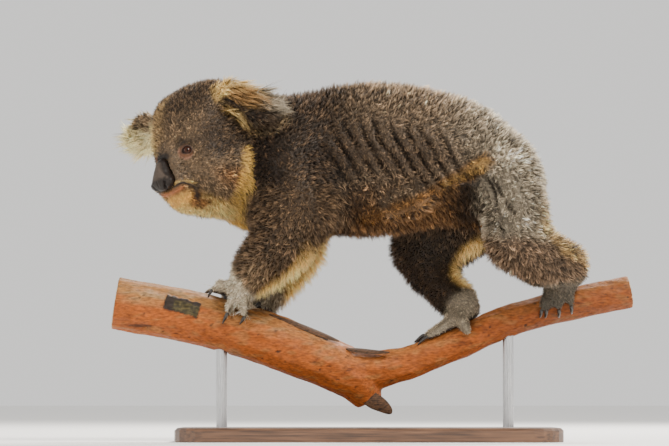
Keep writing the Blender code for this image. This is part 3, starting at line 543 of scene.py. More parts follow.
class Skin:
    """The koala's skin and, at each of its vertices, what the coat is like there."""

    def __init__(self):
        points, faces, owner = flesh_union()
        solid = BVHTree.FromPolygons(points, faces)
        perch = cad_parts[PERCH].data
        bark = BVHTree.FromPolygons([v.co for v in perch.vertices], [f.vertices[:] for f in perch.polygons])
        mesh = remeshed(mesh_of("flesh", points, faces), SKIN_STEP)
        set_points(mesh, Web(mesh).spread(points_of(mesh), 7, 0.5))
        refine_face(mesh)
        self.mesh, self.web = mesh, Web(mesh)
        self.outline = self.web.spread(points_of(mesh), 3, 0.5)
        self.node = np.array([owner[solid.find_nearest(Vector(p))[2]] for p in self.outline])
        self.place(self.outline)
        self.facing = self.normals
        self.head = in_head(self.outline)
        self.on_head = self.share("head")
        self.off_bark = np.array([bark.find_nearest(Vector(p))[3] for p in self.outline])

        table = np.array([COAT[part_name(node)] for node in FLESH])
        fields = self.web.spread(table[self.node], 20)
        self.length, self.width, self.lift, self.density = fields.T.copy()
        self.lift = np.radians(self.lift)
        self.bare = np.zeros(self.web.count)
        self.wild = np.full(self.web.count, 0.6)
        self.tint = np.tile(GREY_BROWN, (self.web.count, 1))
        self.pale = np.zeros((self.web.count, 3))
        self.paler = np.zeros(self.web.count)
        self.paint_body()
        self.paint_limbs()
        self.paint_head()
        self.paint_near_ear()
        self.paint_far_ear()
        speckle = 0.2 * patchy(self.outline, 14 * MM) + 0.32 * patchy(self.outline, 6 * MM, 9.0)
        self.tint *= (1 + speckle * (1 - self.paler))[:, None]
        depth = self.length * np.sin(self.lift) * STANDING * (1 - self.bare)
        depth *= above(self.off_bark, 0, 8 * MM)
        self.place(self.web.spread(self.outline - self.facing * depth[:, None], 5, 0.5))
        self.mould_body()
        self.raise_by(moulded(self.head, FACE_RELIEF) * (self.head[:, 0] > 0.02))
        self.set_lids()
        self.flow = self.lie_of_coat()

    def place(self, points):
        set_points(self.mesh, points)
        self.points, self.normals = points, normals_of(self.mesh)

    def raise_by(self, height):
        """Moves the skin outwards by a height at each vertex."""
        self.place(self.points + self.normals * height[:, None])

    def over(self, nodes, times):
        """1 on these nodes, 0 elsewhere, with an edge that each of the times makes softer."""
        return self.web.spread(np.isin(self.node, [FLESH.index(node) for node in nodes]).astype(float), times)

    def share(self, *parts):
        """1 on these parts of the body, 0 elsewhere, with a soft edge."""
        return self.over([node for node in FLESH if part_name(node) in parts], 12)

    def brush(self, path, radius, soft=0.6):
        """1 near a path in world places, 0 beyond the radius, which may change from end to end."""
        away, along = off_path(self.outline, path)
        start, end = radius if isinstance(radius, tuple) else (radius, radius)
        return ease((1 - away / (start + (end - start) * along)) / soft)

    def mix(self, share, **fields):
        """Takes fields towards new values by the share at each vertex."""
        for name, value in fields.items():
            old = getattr(self, name)
            part = share[:, None] if old.ndim == 2 else share
            setattr(self, name, old + (value - old) * part)

    def daub(self, share, path, radius, soft=0.6, **fields):
        """Takes fields towards new values by the share at most, near a path in world places."""
        self.mix(self.brush(path, radius, soft) * share, **fields)

    def trace(self, share, path, radius, **fields):
        """Takes fields towards new values along a line on both sides of the face."""
        self.mix(bump(off_line(self.head, path), radius) * share, **fields)

    def whiten(self, share, tone, paler, **fields):
        """Takes the coat towards cream with ivory tips."""
        self.mix(share, tint=CREAM * tone, pale=IVORY, paler=paler, **fields)

    # ---------------- markings, and lengths that go with them
    def paint_body(self):
        """The grey rump, the dark shoulders, the furrowed flanks, the belly's ridge and the pale bib."""
        x, up = self.outline[:, X], self.facing[:, Z]
        trunk, neck = self.share("trunk"), self.share("neck")
        self.mix(above(x, level("trunk", X, 0.6), 0.14) * above(up, -0.2, 0.5), tint=RUMP_GREY, wild=0.42)
        # Painted shade: the downward-facing underside darkened, over its own tan.
        lower = below(up, -0.15, 0.5) * trunk
        self.mix(lower, tint=FLANK_TAN * 0.25 + GREY_BROWN * 0.22 + CREAM * 0.03)
        self.mix(below(x, level("trunk", X, 0.48), 0.1) * 0.9, tint=DARK_BROWN * 0.58)
        for y in (0.0, 1.0):
            flank = route("trunk", (0.36, y, 0.6), (0.6, y, 0.52))
            self.daub(0.75, flank, 0.075, 0.9, tint=DARK_BROWN * 0.9)
            belly = route("trunk", (0.5, y, 0.03), (0.66, y, 0.14))
            self.daub(0.65, belly, (0.026, 0.042), tint=FLANK_TAN * 0.62)
        shoulder = route("upper_arm_left", (0.35, 0, 0.9), (0.45, 0, 0.5))
        self.daub(0.7, shoulder, 0.07, tint=DARK_BROWN * 0.8 + FACE_GREY * 0.3)
        self.find_furrows()
        # Painted light: the flanks lightened, so the ridges between the furrows read as lit.
        self.mix(self.flank, tint=self.tint * 1.2, wild=0.24, length=0.009, density=0.62)
        # Painted shade: the sunk furrows darkened.
        self.mix(self.furrow, tint=DARK_BROWN * 0.16, length=0.0048)
        # Painted shade: the hollow between the fold and the thigh darkened.
        under = route("trunk", (0.745, 0.06, 0.395), (0.745, 0.16, 0.3), (0.76, 0.42, 0.178))
        self.daub(0.95, under, 0.033, tint=DARK_BROWN * 0.55)
        ridge = route("trunk", *RIDGE)
        self.daub(0.9, ridge, 0.02, tint=FLANK_TAN * 0.4 + CREAM * 0.08, wild=0.2, length=0.008)
        # Painted light: the ridge's upper part paler still, over the pale fringe's own colour.
        self.daub(0.85, ridge[2:], 0.014, tint=CREAM * 0.36 + FLANK_TAN * 0.24)
        hip = route("trunk", (0.865, 0.06, 0.57), (0.93, 0.08, 0.53))
        self.daub(0.9, hip, 0.028, 0.8, tint=RUMP_GREY * 2.0)
        self.daub(0.9, route("neck", (0.7, 0.02, 0.62), (0.78, 0.0, 0.15)), 0.035, tint=DARK_BROWN * 0.6)
        bib = np.zeros(self.web.count)
        for start, end, radius in BIB:
            bib = np.maximum(bib, self.brush(route("neck", start, end), radius, 0.3))
        bib *= np.clip(neck + trunk + self.on_head * below(self.head[:, 0], 0.03, 0.02), 0, 1)
        self.mix(bib, tint=CREAM, pale=YELLOW, paler=0.85, length=0.011, width=0.0007, wild=0.1)
        self.mix(bib, lift=math.radians(34), density=1.0)

    def find_furrows(self):
        """Where the flanks are, which way their coat falls, and their furrows and the thigh's wrinkles."""
        self.flank = np.zeros(self.web.count)
        for y in (0.0, 1.0):
            path = route("trunk", (0.39, y, 0.6), (0.62, y, 0.54))
            self.flank = np.maximum(self.flank, self.brush(path, 0.085, 0.7))
        drop = level("trunk", Z, 0.9) - self.outline[:, Z]
        self.fall = 0.1 + 5.2 * np.maximum(drop, 0.0)
        wander = 0.65 * patchy(self.outline, 42 * MM, 6.0)
        leaning = 2.6 * drop**2  # the furrows lean back more the lower they come
        turn = (self.outline[:, X] - leaning - 0.1 * drop) / FURROW * 2 * math.pi + wander * 3
        broken = above(patchy(self.outline, 28 * MM, 1.0), -0.48, 0.4)
        self.furrow = above(np.cos(turn), -0.05, 0.5) * self.flank * broken
        near = below(self.outline[:, Y], level("trunk", Y, 0.3), 0.01)
        seen = (1, 0, 1)  # flattens places onto the near side
        for wrinkle in WRINKLES:
            path = [at("thigh_left", x, 0, z) * seen for x, z in wrinkle]
            away = off_path(self.outline * seen, path)[0]
            self.furrow = np.maximum(self.furrow, ease((1 - away / 0.0065) / 0.8) * near)

    def paint_limbs(self):
        """Each leg's colours with painted light and shade, the pale fringe behind it, and its paw with the
        bare sole.
        """
        for leg, parts in LEGS.items():
            side = 1 if leg.endswith("left") else -1
            upper, paw = middle_of(parts[0]), middle_of(parts[2])
            inside = self.over(parts, 10)
            axis = unit(paw - upper)
            rear = self.facing @ unit(np.array((1.0, 0, 0)) - axis[0] * axis)
            inner = self.facing @ unit(np.array((0, side, 0)) - axis[1] * side * axis)
            down = ease(((self.outline - upper) @ axis + 0.015) / 0.05)
            if leg.startswith("foreleg"):
                self.mix(inside * 0.85, tint=DARK_BROWN * 0.8 + FACE_GREY * 0.45, wild=0.5)
                fringe = above(rear, 0.22, 0.4) * down * inside
                self.whiten(fringe, 1.1, 0.8, length=0.018, wild=0.22)
                self.whiten(above(inner, 0.2, 0.3) * inside * down, 0.85, 0.6)
            else:
                coat, shin = RUMP_GREY * 1.15, FLANK_TAN * 0.32 + RUMP_GREY * 0.11
                # Painted shade: the far hind leg and its shin darker than the near ones.
                if side < 0:
                    coat, shin = DARK_BROWN * 0.6, DARK_BROWN
                self.mix(inside * 0.85, tint=coat, wild=0.42)
                self.mix(self.share("shank") * inside * 0.75, tint=shin)
                if side > 0:
                    self.mix(above(inner, 0.3, 0.35) * inside, tint=CREAM * 0.7)
                else:
                    wedge = route("thigh_right", (0.93, 0.18, 0.3), (0.82, 0.18, 0.13), (0.76, 0.18, -0.05))
                    self.whiten(self.brush(wedge, 0.031, 0.5) * inside, 1, 0.85, wild=0.15)
                self.mix(above(rear, 0.7, 0.25) * down * inside * 0.5, tint=CREAM * 0.7)
            if leg == "foreleg_left":
                wrist = self.brush(route("forearm_left", (0.1, 0.3, 0.1), (0.22, 0.2, 0.35)), 0.04)
                self.mix(wrist * (1 - fringe) * 0.75, tint=FACE_GREY * 1.5)
            on_paw = self.over(parts[2:], 6)
            # Painted light on the near hand and painted shade on the near foot.
            tone = DIGIT_GREY * PAW_LIGHT_AND_SHADE.get(leg, 1.0)
            self.mix(on_paw, tint=tone, pale=tone * 1.6, paler=0.4, wild=0.25)
            sole = below(self.facing[:, Z], -0.25, 0.35) * on_paw * below(self.off_bark, 11 * MM, 5 * MM)
            self.mix(sole, tint=PAD_DARK, bare=1.0)
        # Painted shade in the furrows and wrinkles on the legs.
        self.mix(self.furrow * self.share("thigh", "shank"), tint=DARK_BROWN * 0.3, length=0.0055)

    def paint_head(self):
        """Short dense coat on the face, a dark crown, pale cheeks and chin, the mouth and the brows."""
        forward, left, up = self.head.T
        self.mix(self.on_head, tint=FACE_GREY)
        front = self.on_head * above(forward, 0.01, 0.045)
        self.mix(front, length=0.006, width=0.0005, lift=math.radians(58), density=1.12, wild=0.4)
        bridge = self.on_head * self.brush(head_route((850, 0, -300), (800, 0, -700)), 0.03, 0.5)
        self.mix(bridge, length=0.0036, width=0.00045, density=1.4, tint=FACE_GREY * 0.72)
        muzzle = self.on_head * self.brush(head_route((760, 240, -500), (700, 320, -660)), 0.016)
        self.mix(muzzle * 0.8, tint=FACE_GREY * 0.68)
        self.mix(self.on_head * above(up, 0.002, 0.045) * 0.75, tint=DARK_BROWN * 0.6, wild=0.5)
        temple = head_route((300, 670, -100), (60, 720, 100))
        self.daub(0.8, temple, 0.045, tint=DARK_BROWN * 0.6, wild=0.5)
        self.whiten(self.on_head * below(up, -0.086, 0.012) * below(np.abs(left), 0.045, 0.02), 0.8, 0.5)
        far_cheek = self.on_head * below(left, -0.042, 0.03) * below(up, 0.05, 0.06)
        self.whiten(far_cheek, 0.8, 0.6, length=0.013)
        fluff = self.brush(head_route((520, -500, 220), (660, -380, -100), (800, -220, -340)), (0.02, 0.01))
        self.whiten(fluff * 0.8, 0.85, 0.6, length=0.012)
        rim = head_route((580, -300, 520), (690, -260, 310), (720, -270, 130), (710, -280, -160))
        self.daub(0.8, rim, 0.034, 1.0, tint=FACE_GREY * 1.1 + CREAM * 0.22, paler=0.2)
        near_cheek = self.on_head * above(left, 0.052, 0.03) * below(up, -0.05, 0.02)
        self.mix(near_cheek * 0.85, tint=FLANK_TAN * 0.7 + FACE_GREY * 0.35, length=0.011)
        chin = {"tint": CHIN_TONE, "pale": CHIN_TONE * 1.2, "paler": 0.6, "length": 0.0042, "width": 0.00045}
        self.trace(1, CHIN, 11 * MM, **chin)
        self.trace(1, LOWER_LIP, 4.2 * MM, tint=LIP_PINK * 1.15, paler=0.0, length=0.002, density=0.9)
        self.trace(0.85, UPPER_LIP, 2.6 * MM, tint=CREAM * 0.55, length=0.003)
        throat = head_route((470, 262, -910), (470, 230, -1020), (280, 250, -1060))
        band = {"tint": FLANK_TAN * 0.55 + DARK_BROWN * 0.3, "paler": 0.05, "length": 0.006}
        self.daub(0.95, throat, (0.009, 0.018), 0.7, **band)
        brim = self.brush(head_route((840, -120, -325), (850, 80, -325)), 0.008)
        self.mix(brim * self.on_head, tint=DARK_BROWN * 0.25, length=0.003)
        lips = below(off_line(self.head, MOUTH), 2.8 * MM, 1.0 * MM)
        self.mix(lips, tint=LID_DARK, bare=1.0, paler=0.0)
        self.trace(1, CORNER, 6.0 * MM, tint=DARK_BROWN * 0.3, paler=0.0)
        self.trace(0.9, BROW, 3.6 * MM, tint=DARK_BROWN * 0.4)

    def paint_near_ear(self):
        """A pale fringe around a tan middle, grey at the tip, with painted shade along its lower edge, and a
        loose lock.
        """
        node, x = "ear_left", self.outline[:, X]
        inside = self.over([node], 6)
        self.mix(inside, **EAR_COAT)
        self.mix(inside * below(x, level(node, X, 0.4), 0.03), length=0.015)
        middle = self.brush(route(node, (0.24, 0, 0.62), (0.6, 0, 0.55)), 0.03)
        self.mix(middle * inside * 0.85, tint=EAR_TAN * 0.75, pale=EAR_TAN * 1.7, paler=0.35)
        tip = inside * above(x, level(node, X, 0.42), 0.03)
        self.mix(tip, tint=RUMP_GREY * 0.5, pale=RUMP_GREY * 1.5, paler=0.35)
        root = self.brush(route(node, (0.04, 0.4, 0.8), (0.08, 0.4, 0.58)), 0.014)
        self.whiten(root * 0.7, 1, 0.7, length=0.018, lift=math.radians(28), wild=0.2)
        # Painted shade under the ear's lower rim: its lower part and a line along its lower edge darkened.
        lower = inside * below(self.outline[:, Z], level(node, Z, 0.42), 0.012)
        self.mix(lower, tint=DARK_BROWN * 0.7, paler=0.1, length=0.016)
        edge = route(node, (0.12, 0.25, 0.54), (0.6, 0.1, 0.28))
        self.daub(0.95, edge, 0.01, tint=DARK_BROWN * 0.4, paler=0.0, length=0.01)
        lock = self.brush(route(node, (0.16, 0.35, 0.38), (0.4, 0.4, 0.2)), 0.009)
        self.mix(lock * 0.85, tint=CREAM * 0.45, pale=IVORY * 0.9, paler=0.4, length=0.024, wild=0.16)

    def paint_far_ear(self):
        """Nearly white, with a grey middle."""
        inside = self.over(["ear_right"], 6)
        self.mix(inside, **EAR_COAT)
        self.mix(inside, tint=IVORY * 0.85, pale=IVORY, paler=0.7)
        middle = self.brush(route("ear_right", (0.22, 0.5, 0.82), (0.62, 0.3, 0.72)), 0.027)
        self.mix(middle * inside, tint=FACE_GREY * 0.95, paler=0.05, length=0.01, wild=0.5)

    # ---------------- shape of the skin itself
    def mould_body(self):
        """The fold of loose skin along the near flank, with painted shade in its groove, and its furrows."""
        fold = [at("trunk", x, 0.09, z) for x, z in FOLD]
        away, along = off_path(self.outline, fold)
        shape = np.sin(np.clip(along, 0.03, 0.97) * math.pi) ** 0.5
        groove = bump(away, 9 * MM) * shape * 10 * MM
        hump = bump(off_path(self.outline, np.array(fold) + (0, 0, 0.018))[0], 12 * MM) * shape * 3 * MM
        # Painted shade in the groove of the fold.
        self.mix(bump(away, 7 * MM) * shape * 0.9, tint=DARK_BROWN * 0.4, length=0.01)
        self.raise_by(hump - groove - self.furrow * FURROW_DEPTH)

    def set_lids(self):
        """Lids lifted over each eye, and the skin dropped behind the eye in the gap between them."""
        points = self.points.copy()
        for eye in EYES:
            height, front, up, away = eye.local(points)
            beyond = eye.beyond(points)
            near = (away < eye.REACH) & (height > -eye.BACK)
            over = np.sqrt(np.maximum((eye.radius + eye.LID) ** 2 - away**2, 0))
            lid = np.maximum(over, height) + eye.RIM * bump(beyond, eye.RIM_WIDTH)
            crease = eye.CREASE * bump(beyond - eye.CREASE_AT, 0.8 * MM) * (0.5 + 0.5 * np.sign(up))
            lid = height + (lid - crease - height) * below(beyond, 5.5 * MM, 4.5 * MM)
            inside = over - eye.LID - eye.DROP
            new = np.where(beyond < 0, inside + (lid - inside) * ease(1 + beyond / (1.0 * MM)), lid)
            points += np.where(near, new - height, 0.0)[:, None] * eye.rows[0]
            off = np.hypot(front - eye.BARE_SHIFT[0], up - eye.BARE_SHIFT[1])
            ring = np.where(near, below(off, eye.BARE, 3.0 * MM), 0.0)
            # Painted shade on the bare ring: darker towards the top and the back of the eye.
            shade = 0.55 + 0.55 * ease((front - up + 4 * MM) / (14 * MM))
            self.mix(ring, bare=1.0, tint=BARE_PINK * shade[:, None])
            self.mix(np.where(near, bump(np.maximum(beyond, 0), 0.9 * MM), 0.0), tint=LID_DARK)
        self.place(points)

    def lie_of_coat(self):
        """The way the coat lies at each vertex, along the skin."""
        ways = np.zeros((len(FLESH), 3))
        for parts in LEGS.values():
            places = [middle_of(part) for part in parts]
            for k, part in enumerate(parts):
                ways[FLESH.index(part)] = unit(places[min(k + 1, 2)] - places[max(k - 1, 0)])
        ways[FLESH.index("trunk")] = unit(TRUNK_WAY)
        ways[FLESH.index("neck")] = unit(NECK_WAY)
        flow = ways[self.node]
        from_nose = unit(in_head(self.points) - NOSE_TOP) + np.array((-0.55, 0.0, -0.1))
        on_head = self.node == FLESH.index("head")
        flow[on_head] = unit(from_nose[on_head]) @ HEAD
        flow = self.web.spread(flow, 24)
        falling = unit(np.column_stack([self.fall, np.zeros(self.web.count), -np.ones(self.web.count)]))
        flow += (falling - flow) * (0.9 * self.flank)[:, None]
        for side in SIDES:
            on_ear = self.node == FLESH.index("ear_" + side)
            out = unit(self.points[on_ear] - EAR_ROOT[side])
            flow[on_ear] = unit(out * EAR_SPREAD[side] + EAR_STREAM[side])
        flow = self.web.spread(flow, 4)
        swirl = SWIRL * patchy(self.points, 30 * MM, 2.0)[:, None] * np.cross(self.normals, flow)
        flow = flow + swirl * (1 - self.on_head)[:, None]
        return along_skin(flow, self.normals)


def along_skin(ways, normals):
    """Directions turned to lie along the skin."""
    return unit(ways - normals * (ways * normals).sum(axis=1, keepdims=True))


# ---------------- coat
BEND_AT = 0.45  # where along its length a tuft has its middle ring
LAID = 0.85  # how much of its lift a tuft keeps past its middle
THICKNESS = 0.45  # of a tuft, as a share of its width
SPIKE_WIDTH = 0.75  # of a straight spike, as a share of a bent tuft's
CLUMP = 6  # tufts that lean together
BURIED = 0.6 * MM
PATCH = 0.003  # width of a tuft's place on the unwrap
FUZZ, EAR_FUZZ = 0.85, 0.5  # share of the tufts that are straight single spikes
COUNT_SCALE = 0.917  # thins the whole coat, to keep to its number of triangles

# How much tufts differ from each other: all those of a clump together, and each one alone.
VARY_LENGTH = (0.1, 0.14)
VARY_LIFT = (0.12, 0.1)
VARY_TURN = (1.0, 0.5)
VARY_LIGHT = (0.26, 0.22)
DARK_CLUMPS, DARK_TUFTS = 0.2, 0.12  # shares of them that are dark
DARK_LIGHT = 0.36  # how light a dark tuft is beside its neighbours
BLOTCH, BLOTCH_SIZE = 1.6, 4.5 * MM  # how much light changes over the coat in blotches, and their size
ROOT_LIGHT, TIP_LIGHT = 0.2, 1.65  # of a tuft's colour
LEAN, LEAN_VARIES = 0.72, 0.15  # how far a tuft's tip leans to its clump's


def picks(weights, count):
    """Indexes drawn in proportion to weights, spread as evenly as chance allows."""
    edges = np.cumsum(weights)
    spots = (np.arange(count) + chance.random(count)) / count * edges[-1]
    return np.minimum(np.searchsorted(edges, spots), len(weights) - 1)


def unwrapped(name, triangles):
    """Triangles of the skin laid flat: a place on the map for each of their corners."""
    used, index = np.unique(triangles, return_inverse=True)
    mesh = mesh_of(name, skin.points[used], index.reshape(-1, 3).tolist())
    holder = linked(name, mesh)
    bpy.context.view_layer.objects.active = holder
    holder.select_set(True)
    bpy.ops.object.mode_set(mode="EDIT")
    bpy.ops.mesh.select_all(action="SELECT")
    bpy.ops.uv.smart_project(angle_limit=math.radians(66), island_margin=0.004)
    bpy.ops.object.mode_set(mode="OBJECT")
    flat = column(mesh.uv_layers[0].uv, "vector", 2).reshape(-1, 3, 2)
    bpy.data.objects.remove(holder)
    return flat


class Blades:
    """Closed tapering blades, gathered for one mesh."""

    def __init__(self):
        self.points, self.corners, self.shades, self.flat, self.start = [], [], [], [], 0

    def add(self, rings, tips, shades, spots):
        """rings: blades, rings along each, 3 corners, place; shades: a colour for each ring and the tip."""
        count, levels = rings.shape[:2]
        size = levels * 3 + 1
        sides = ((0, 1), (1, 2), (2, 0))
        last = levels * 3 - 3
        faces = [(0, 2, 1)]
        for low in range(0, last, 3):
            for a, b in sides:
                faces += [(low + a, low + b, low + b + 3), (low + a, low + b + 3, low + a + 3)]
        faces += [(last + a, last + b, size - 1) for a, b in sides]
        corners = (np.array(faces)[None] + (np.arange(count) * size)[:, None, None]).reshape(-1)
        colours = np.ones((count, size, 4), np.float32)
        colours[:, :-1, :3] = np.repeat(shades[:, :levels], 3, axis=1)
        colours[:, -1, :3] = shades[:, -1]
        across = np.array([-0.5, 0.5, 0.0] * levels + [0.0])
        along = np.array([low / levels + ridge for low in range(levels) for ridge in (0, 0, 0.1)] + [1.0])
        flat = spots[:, None, :] + PATCH * np.stack([across, along - 0.5], axis=-1)[None]
        points = np.concatenate([rings.reshape(count, -1, 3), tips[:, None]], axis=1)
        self.points.append(points.reshape(-1, 3))
        self.shades.append(colours.reshape(-1, 4))
        self.flat.append(flat.reshape(-1, 2)[corners])
        self.corners.append(corners + self.start)
        self.start += count * size

    def mesh(self, name):
        mesh = bpy.data.meshes.new(name)
        points, corners = np.concatenate(self.points), np.concatenate(self.corners)
        mesh.vertices.add(len(points))
        mesh.loops.add(len(corners))
        mesh.loops.foreach_set("vertex_index", corners.astype(np.int32))
        mesh.polygons.add(len(corners) // 3)
        mesh.polygons.foreach_set("loop_start", np.arange(0, len(corners), 3, dtype=np.int32))
        mesh.vertices.foreach_set("co", points.astype(np.float32).ravel())
        mesh.update(calc_edges=True)
        give_colours(mesh, "coat_colour", np.concatenate(self.shades)[:, :3])
        laid = mesh.uv_layers.new(name="OFBake")
        laid.uv.foreach_set("vector", np.concatenate(self.flat).astype(np.float32).ravel())
        return mesh


class Coat:
    """Tufts rooted on some triangles of the skin."""

    def __init__(self, name, triangles, fuzz=FUZZ):
        a, b, c = np.moveaxis(skin.points[triangles], 1, 0)
        area = np.linalg.norm(np.cross(b - a, c - a), axis=1) / 2
        cover = (skin.density * (1 - skin.bare))[triangles].mean(axis=1)
        weight = area / MM**2 * cover * COUNT_SCALE
        self.triangles, self.flat = triangles, unwrapped(name, triangles)
        self.blades = Blades()
        total = weight.sum() * 1.0
        self.grow(weight, int(total * (1 - fuzz)), 2)
        self.grow(weight, int(total * fuzz), 1)
        add_piece(name, self.blades.mesh(name), COAT_FINISH)

    def grow(self, weight, count, levels):
        """Adds tufts with one ring or two between root and tip."""
        if count < 1:
            return
        face = picks(weight, count)
        mix = chance.random((count, 2))
        mix = np.where(mix.sum(axis=1, keepdims=True) > 1, 1 - mix, mix)
        mix = np.column_stack([1 - mix.sum(axis=1), mix])
        corner = self.triangles[face]

        def sample(*names):
            """Fields of the skin at the roots."""
            return [np.einsum("nk,nk...->n...", mix, getattr(skin, name)[corner]) for name in names]

        spots = np.einsum("nk,nkj->nj", mix, self.flat[face])
        roots, up, flow = sample("points", "normals", "flow")
        length, width, lift, wild = sample("length", "width", "lift", "wild")
        tint, pale, paler = sample("tint", "pale", "paler")
        up = unit(up)
        clump, leader = clumps_of(roots)
        few = len(leader)

        def varied(together, alone):
            return together * chance.standard_normal(few)[clump] + alone * chance.standard_normal(count)

        length = length * np.clip(1 + varied(*VARY_LENGTH), 0.5, 1.4)
        lift = np.clip(lift + varied(*VARY_LIFT), 0.1, 1.35)
        turn = wild * varied(*VARY_TURN)
        if levels == 1:
            width = width * SPIKE_WIDTH
        flow = along_skin(flow, up)
        flow = flow * np.cos(turn)[:, None] + np.cross(up, flow) * np.sin(turn)[:, None]
        side = np.cross(up, flow)

        def way(angle):
            return flow * np.cos(angle)[:, None] + up * np.sin(angle)[:, None]

        roots = roots - up * BURIED
        middle = roots + way(lift) * (length * BEND_AT)[:, None]
        tips = middle + way(lift * LAID) * (length * (1 - BEND_AT))[:, None]
        together = np.clip(LEAN + LEAN_VARIES * chance.standard_normal(count), 0.1, 0.95)[:, None]
        tips = tips + (tips[leader][clump] - tips) * together
        middle = middle + (middle[leader][clump] - middle) * together * 0.35
        half = side * (width / 2)[:, None]
        keel = np.cross(way(lift), side) * (width * THICKNESS)[:, None]

        def ring(centre, size):
            return np.stack([centre - half * size, centre + half * size, centre - keel * size], axis=1)

        rings = [ring(roots, 0.8), ring(middle, 1.0)] if levels == 2 else [ring(roots, 1.0)]
        blotch = patchy(roots[leader], BLOTCH_SIZE, 7.0)[clump]
        light = np.exp((varied(*VARY_LIGHT) + BLOTCH * blotch) * (1 - 0.85 * paler) * (0.4 + wild))
        dark = (chance.random(few) < DARK_CLUMPS)[clump] | (chance.random(count) < DARK_TUFTS)
        dark &= chance.random(count) > paler
        light = np.where(dark, light * DARK_LIGHT, light)[:, None]
        paler = paler[:, None]
        end = np.where(dark[:, None], tint * 0.9, tint * TIP_LIGHT)
        end = end + (pale - end) * paler
        root = tint * (ROOT_LIGHT + 0.65 * paler)
        steps = [root, tint, end] if levels == 2 else [root * 1.3, end]
        shades = np.stack([step * light for step in steps], axis=1)
        self.blades.add(np.stack(rings, axis=1), tips, shades, spots)


def clumps_of(roots):
    """For each tuft its clump, and for each clump the tuft that leads it."""
    leader = np.sort(chance.choice(len(roots), max(1, len(roots) // CLUMP), replace=False))
    tree = KDTree(len(leader))
    for i, place in enumerate(roots[leader]):
        tree.insert(place, i)
    tree.balance()
    return np.array([tree.find(place)[1] for place in roots]), leader


def make_coat():
    skin.mesh.calc_loop_triangles()
    triangles = column(skin.mesh.loop_triangles, "vertices", 3, np.int32)
    owner = skin.node[triangles[:, 0]]
    centre = skin.points[triangles].mean(axis=1)

    def on(*nodes):
        return np.isin(owner, [FLESH.index(node) for node in nodes])

    leftward = skin.head[triangles[:, 0], 1] > 0
    Coat("coat_head_left", triangles[on("head") & leftward])
    Coat("coat_head_right", triangles[on("head") & ~leftward])
    Coat("coat_neck", triangles[on("neck")])
    for side in SIDES:
        Coat(f"coat_ear_{side}", triangles[on("ear_" + side)], EAR_FUZZ)
    for leg, parts in LEGS.items():
        Coat(f"coat_{leg}", triangles[on(*parts)])
    rear = centre[:, X] > level("trunk", X, 0.5)
    left = centre[:, Y] < 0
    for name, half in (("shoulder", ~rear), ("rump", rear)):
        Coat(f"coat_{name}_left", triangles[on("trunk") & left & half])
        Coat(f"coat_{name}_right", triangles[on("trunk") & ~left & half])


# ---------------- eyes
IRIS = colour(48, 24, 14)
IRIS_EDGE = colour(16, 9, 7)
EYE_WHITE = colour(60, 42, 34)
PUPIL_SIZE = (0.9 * MM, 3.4 * MM)  # half its width and half its height, an upright slit
IRIS_RADIUS = 6.3 * MM
EYE_RINGS, EYE_SPOKES = 44, 64


def make_eye(side, eye):
    """A ball with its iris and slit pupil painted on, looking out along the first of the eye's rows."""
    turn = np.linspace(0, math.pi, EYE_RINGS + 1)[1:-1]
    around = np.arange(EYE_SPOKES) / EYE_SPOKES * 2 * math.pi
    out = np.cos(turn)[:, None] * np.ones(EYE_SPOKES)
    front = np.sin(turn)[:, None] * np.cos(around)
    up = np.sin(turn)[:, None] * np.sin(around)
    local = np.stack([out, front, up], axis=-1).reshape(-1, 3)
    local = np.vstack([local, (1, 0, 0), (-1, 0, 0)]) * eye.radius
    last = (len(turn) - 1) * EYE_SPOKES
    faces = []
    for k in range(EYE_SPOKES):
        j = (k + 1) % EYE_SPOKES
        faces += [(len(local) - 2, k, j), (len(local) - 1, last + j, last + k)]
        for low in range(0, last, EYE_SPOKES):
            faces.append((low + k, low + k + EYE_SPOKES, low + j + EYE_SPOKES, low + j))
    mesh = mesh_of("eye_" + side, eye.middle + local @ eye.rows, faces)
    away = np.hypot(local[:, 1], local[:, 2])
    spoke = np.arctan2(local[:, 2], local[:, 1])
    fibres = 1 + 0.22 * np.sin(spoke * 23) + 0.12 * np.sin(spoke * 41 + 1)
    tint = IRIS * (fibres * (0.75 + 0.5 * ease(1 - away / IRIS_RADIUS)))[:, None]
    tint += (IRIS_EDGE - tint) * above(away, 0.72 * IRIS_RADIUS, 0.28 * IRIS_RADIUS)[:, None]
    tint += (EYE_WHITE - tint) * above(away, IRIS_RADIUS, 0.5 * MM)[:, None]
    slit = np.hypot(local[:, 1] / PUPIL_SIZE[0], local[:, 2] / PUPIL_SIZE[1])
    tint *= above(slit, 0.85, 0.3)[:, None] * 0.985 + 0.015
    tint[local[:, 0] < 0] = EYE_WHITE
    give_colours(mesh, "eye_colour", tint)
    made = Finish("eye_" + side, roughness=0.1, specular=0.16)
    made.base(made.painted("eye_colour", made.ramp(made.noise(0.7 * MM), (0.3, 0.75), (0.7, 1.2))))
    add_piece("eye_ball_" + side, mesh, made.material, ["eye_" + side])


# ---------------- nose
NOSE_STEP = 0.9 * MM
NOSE_DARK = colour(24, 16, 12)
NOSE_SHEEN = colour(74, 63, 54)
NOSTRIL_DARK = colour(22, 14, 13)
NOSTRIL = line((890, 80, -800), (935, 105, -775), (960, 125, -730))
NOSE_WING = line((880, 180, -780), (900, 190, -720))
NOSE_CREASE = line((950, 120, -690), (850, 185, -640))
NOSE_CLEFT = line((1000, 0, -700), (930, 0, -850))
NOSE_SADDLE = line((960, 0, -440), (1000, 0, -600))
NOSE_RELIEF = ((NOSE_WING, 4.5, 1.8), (NOSE_CLEFT, 1.1, -1.0), (NOSE_SADDLE, 9.0, -1.0),
               (NOSE_CREASE, 1.8, -1.1), (NOSTRIL, 3.4, 0.9), (NOSTRIL, 1.7, -4.6))


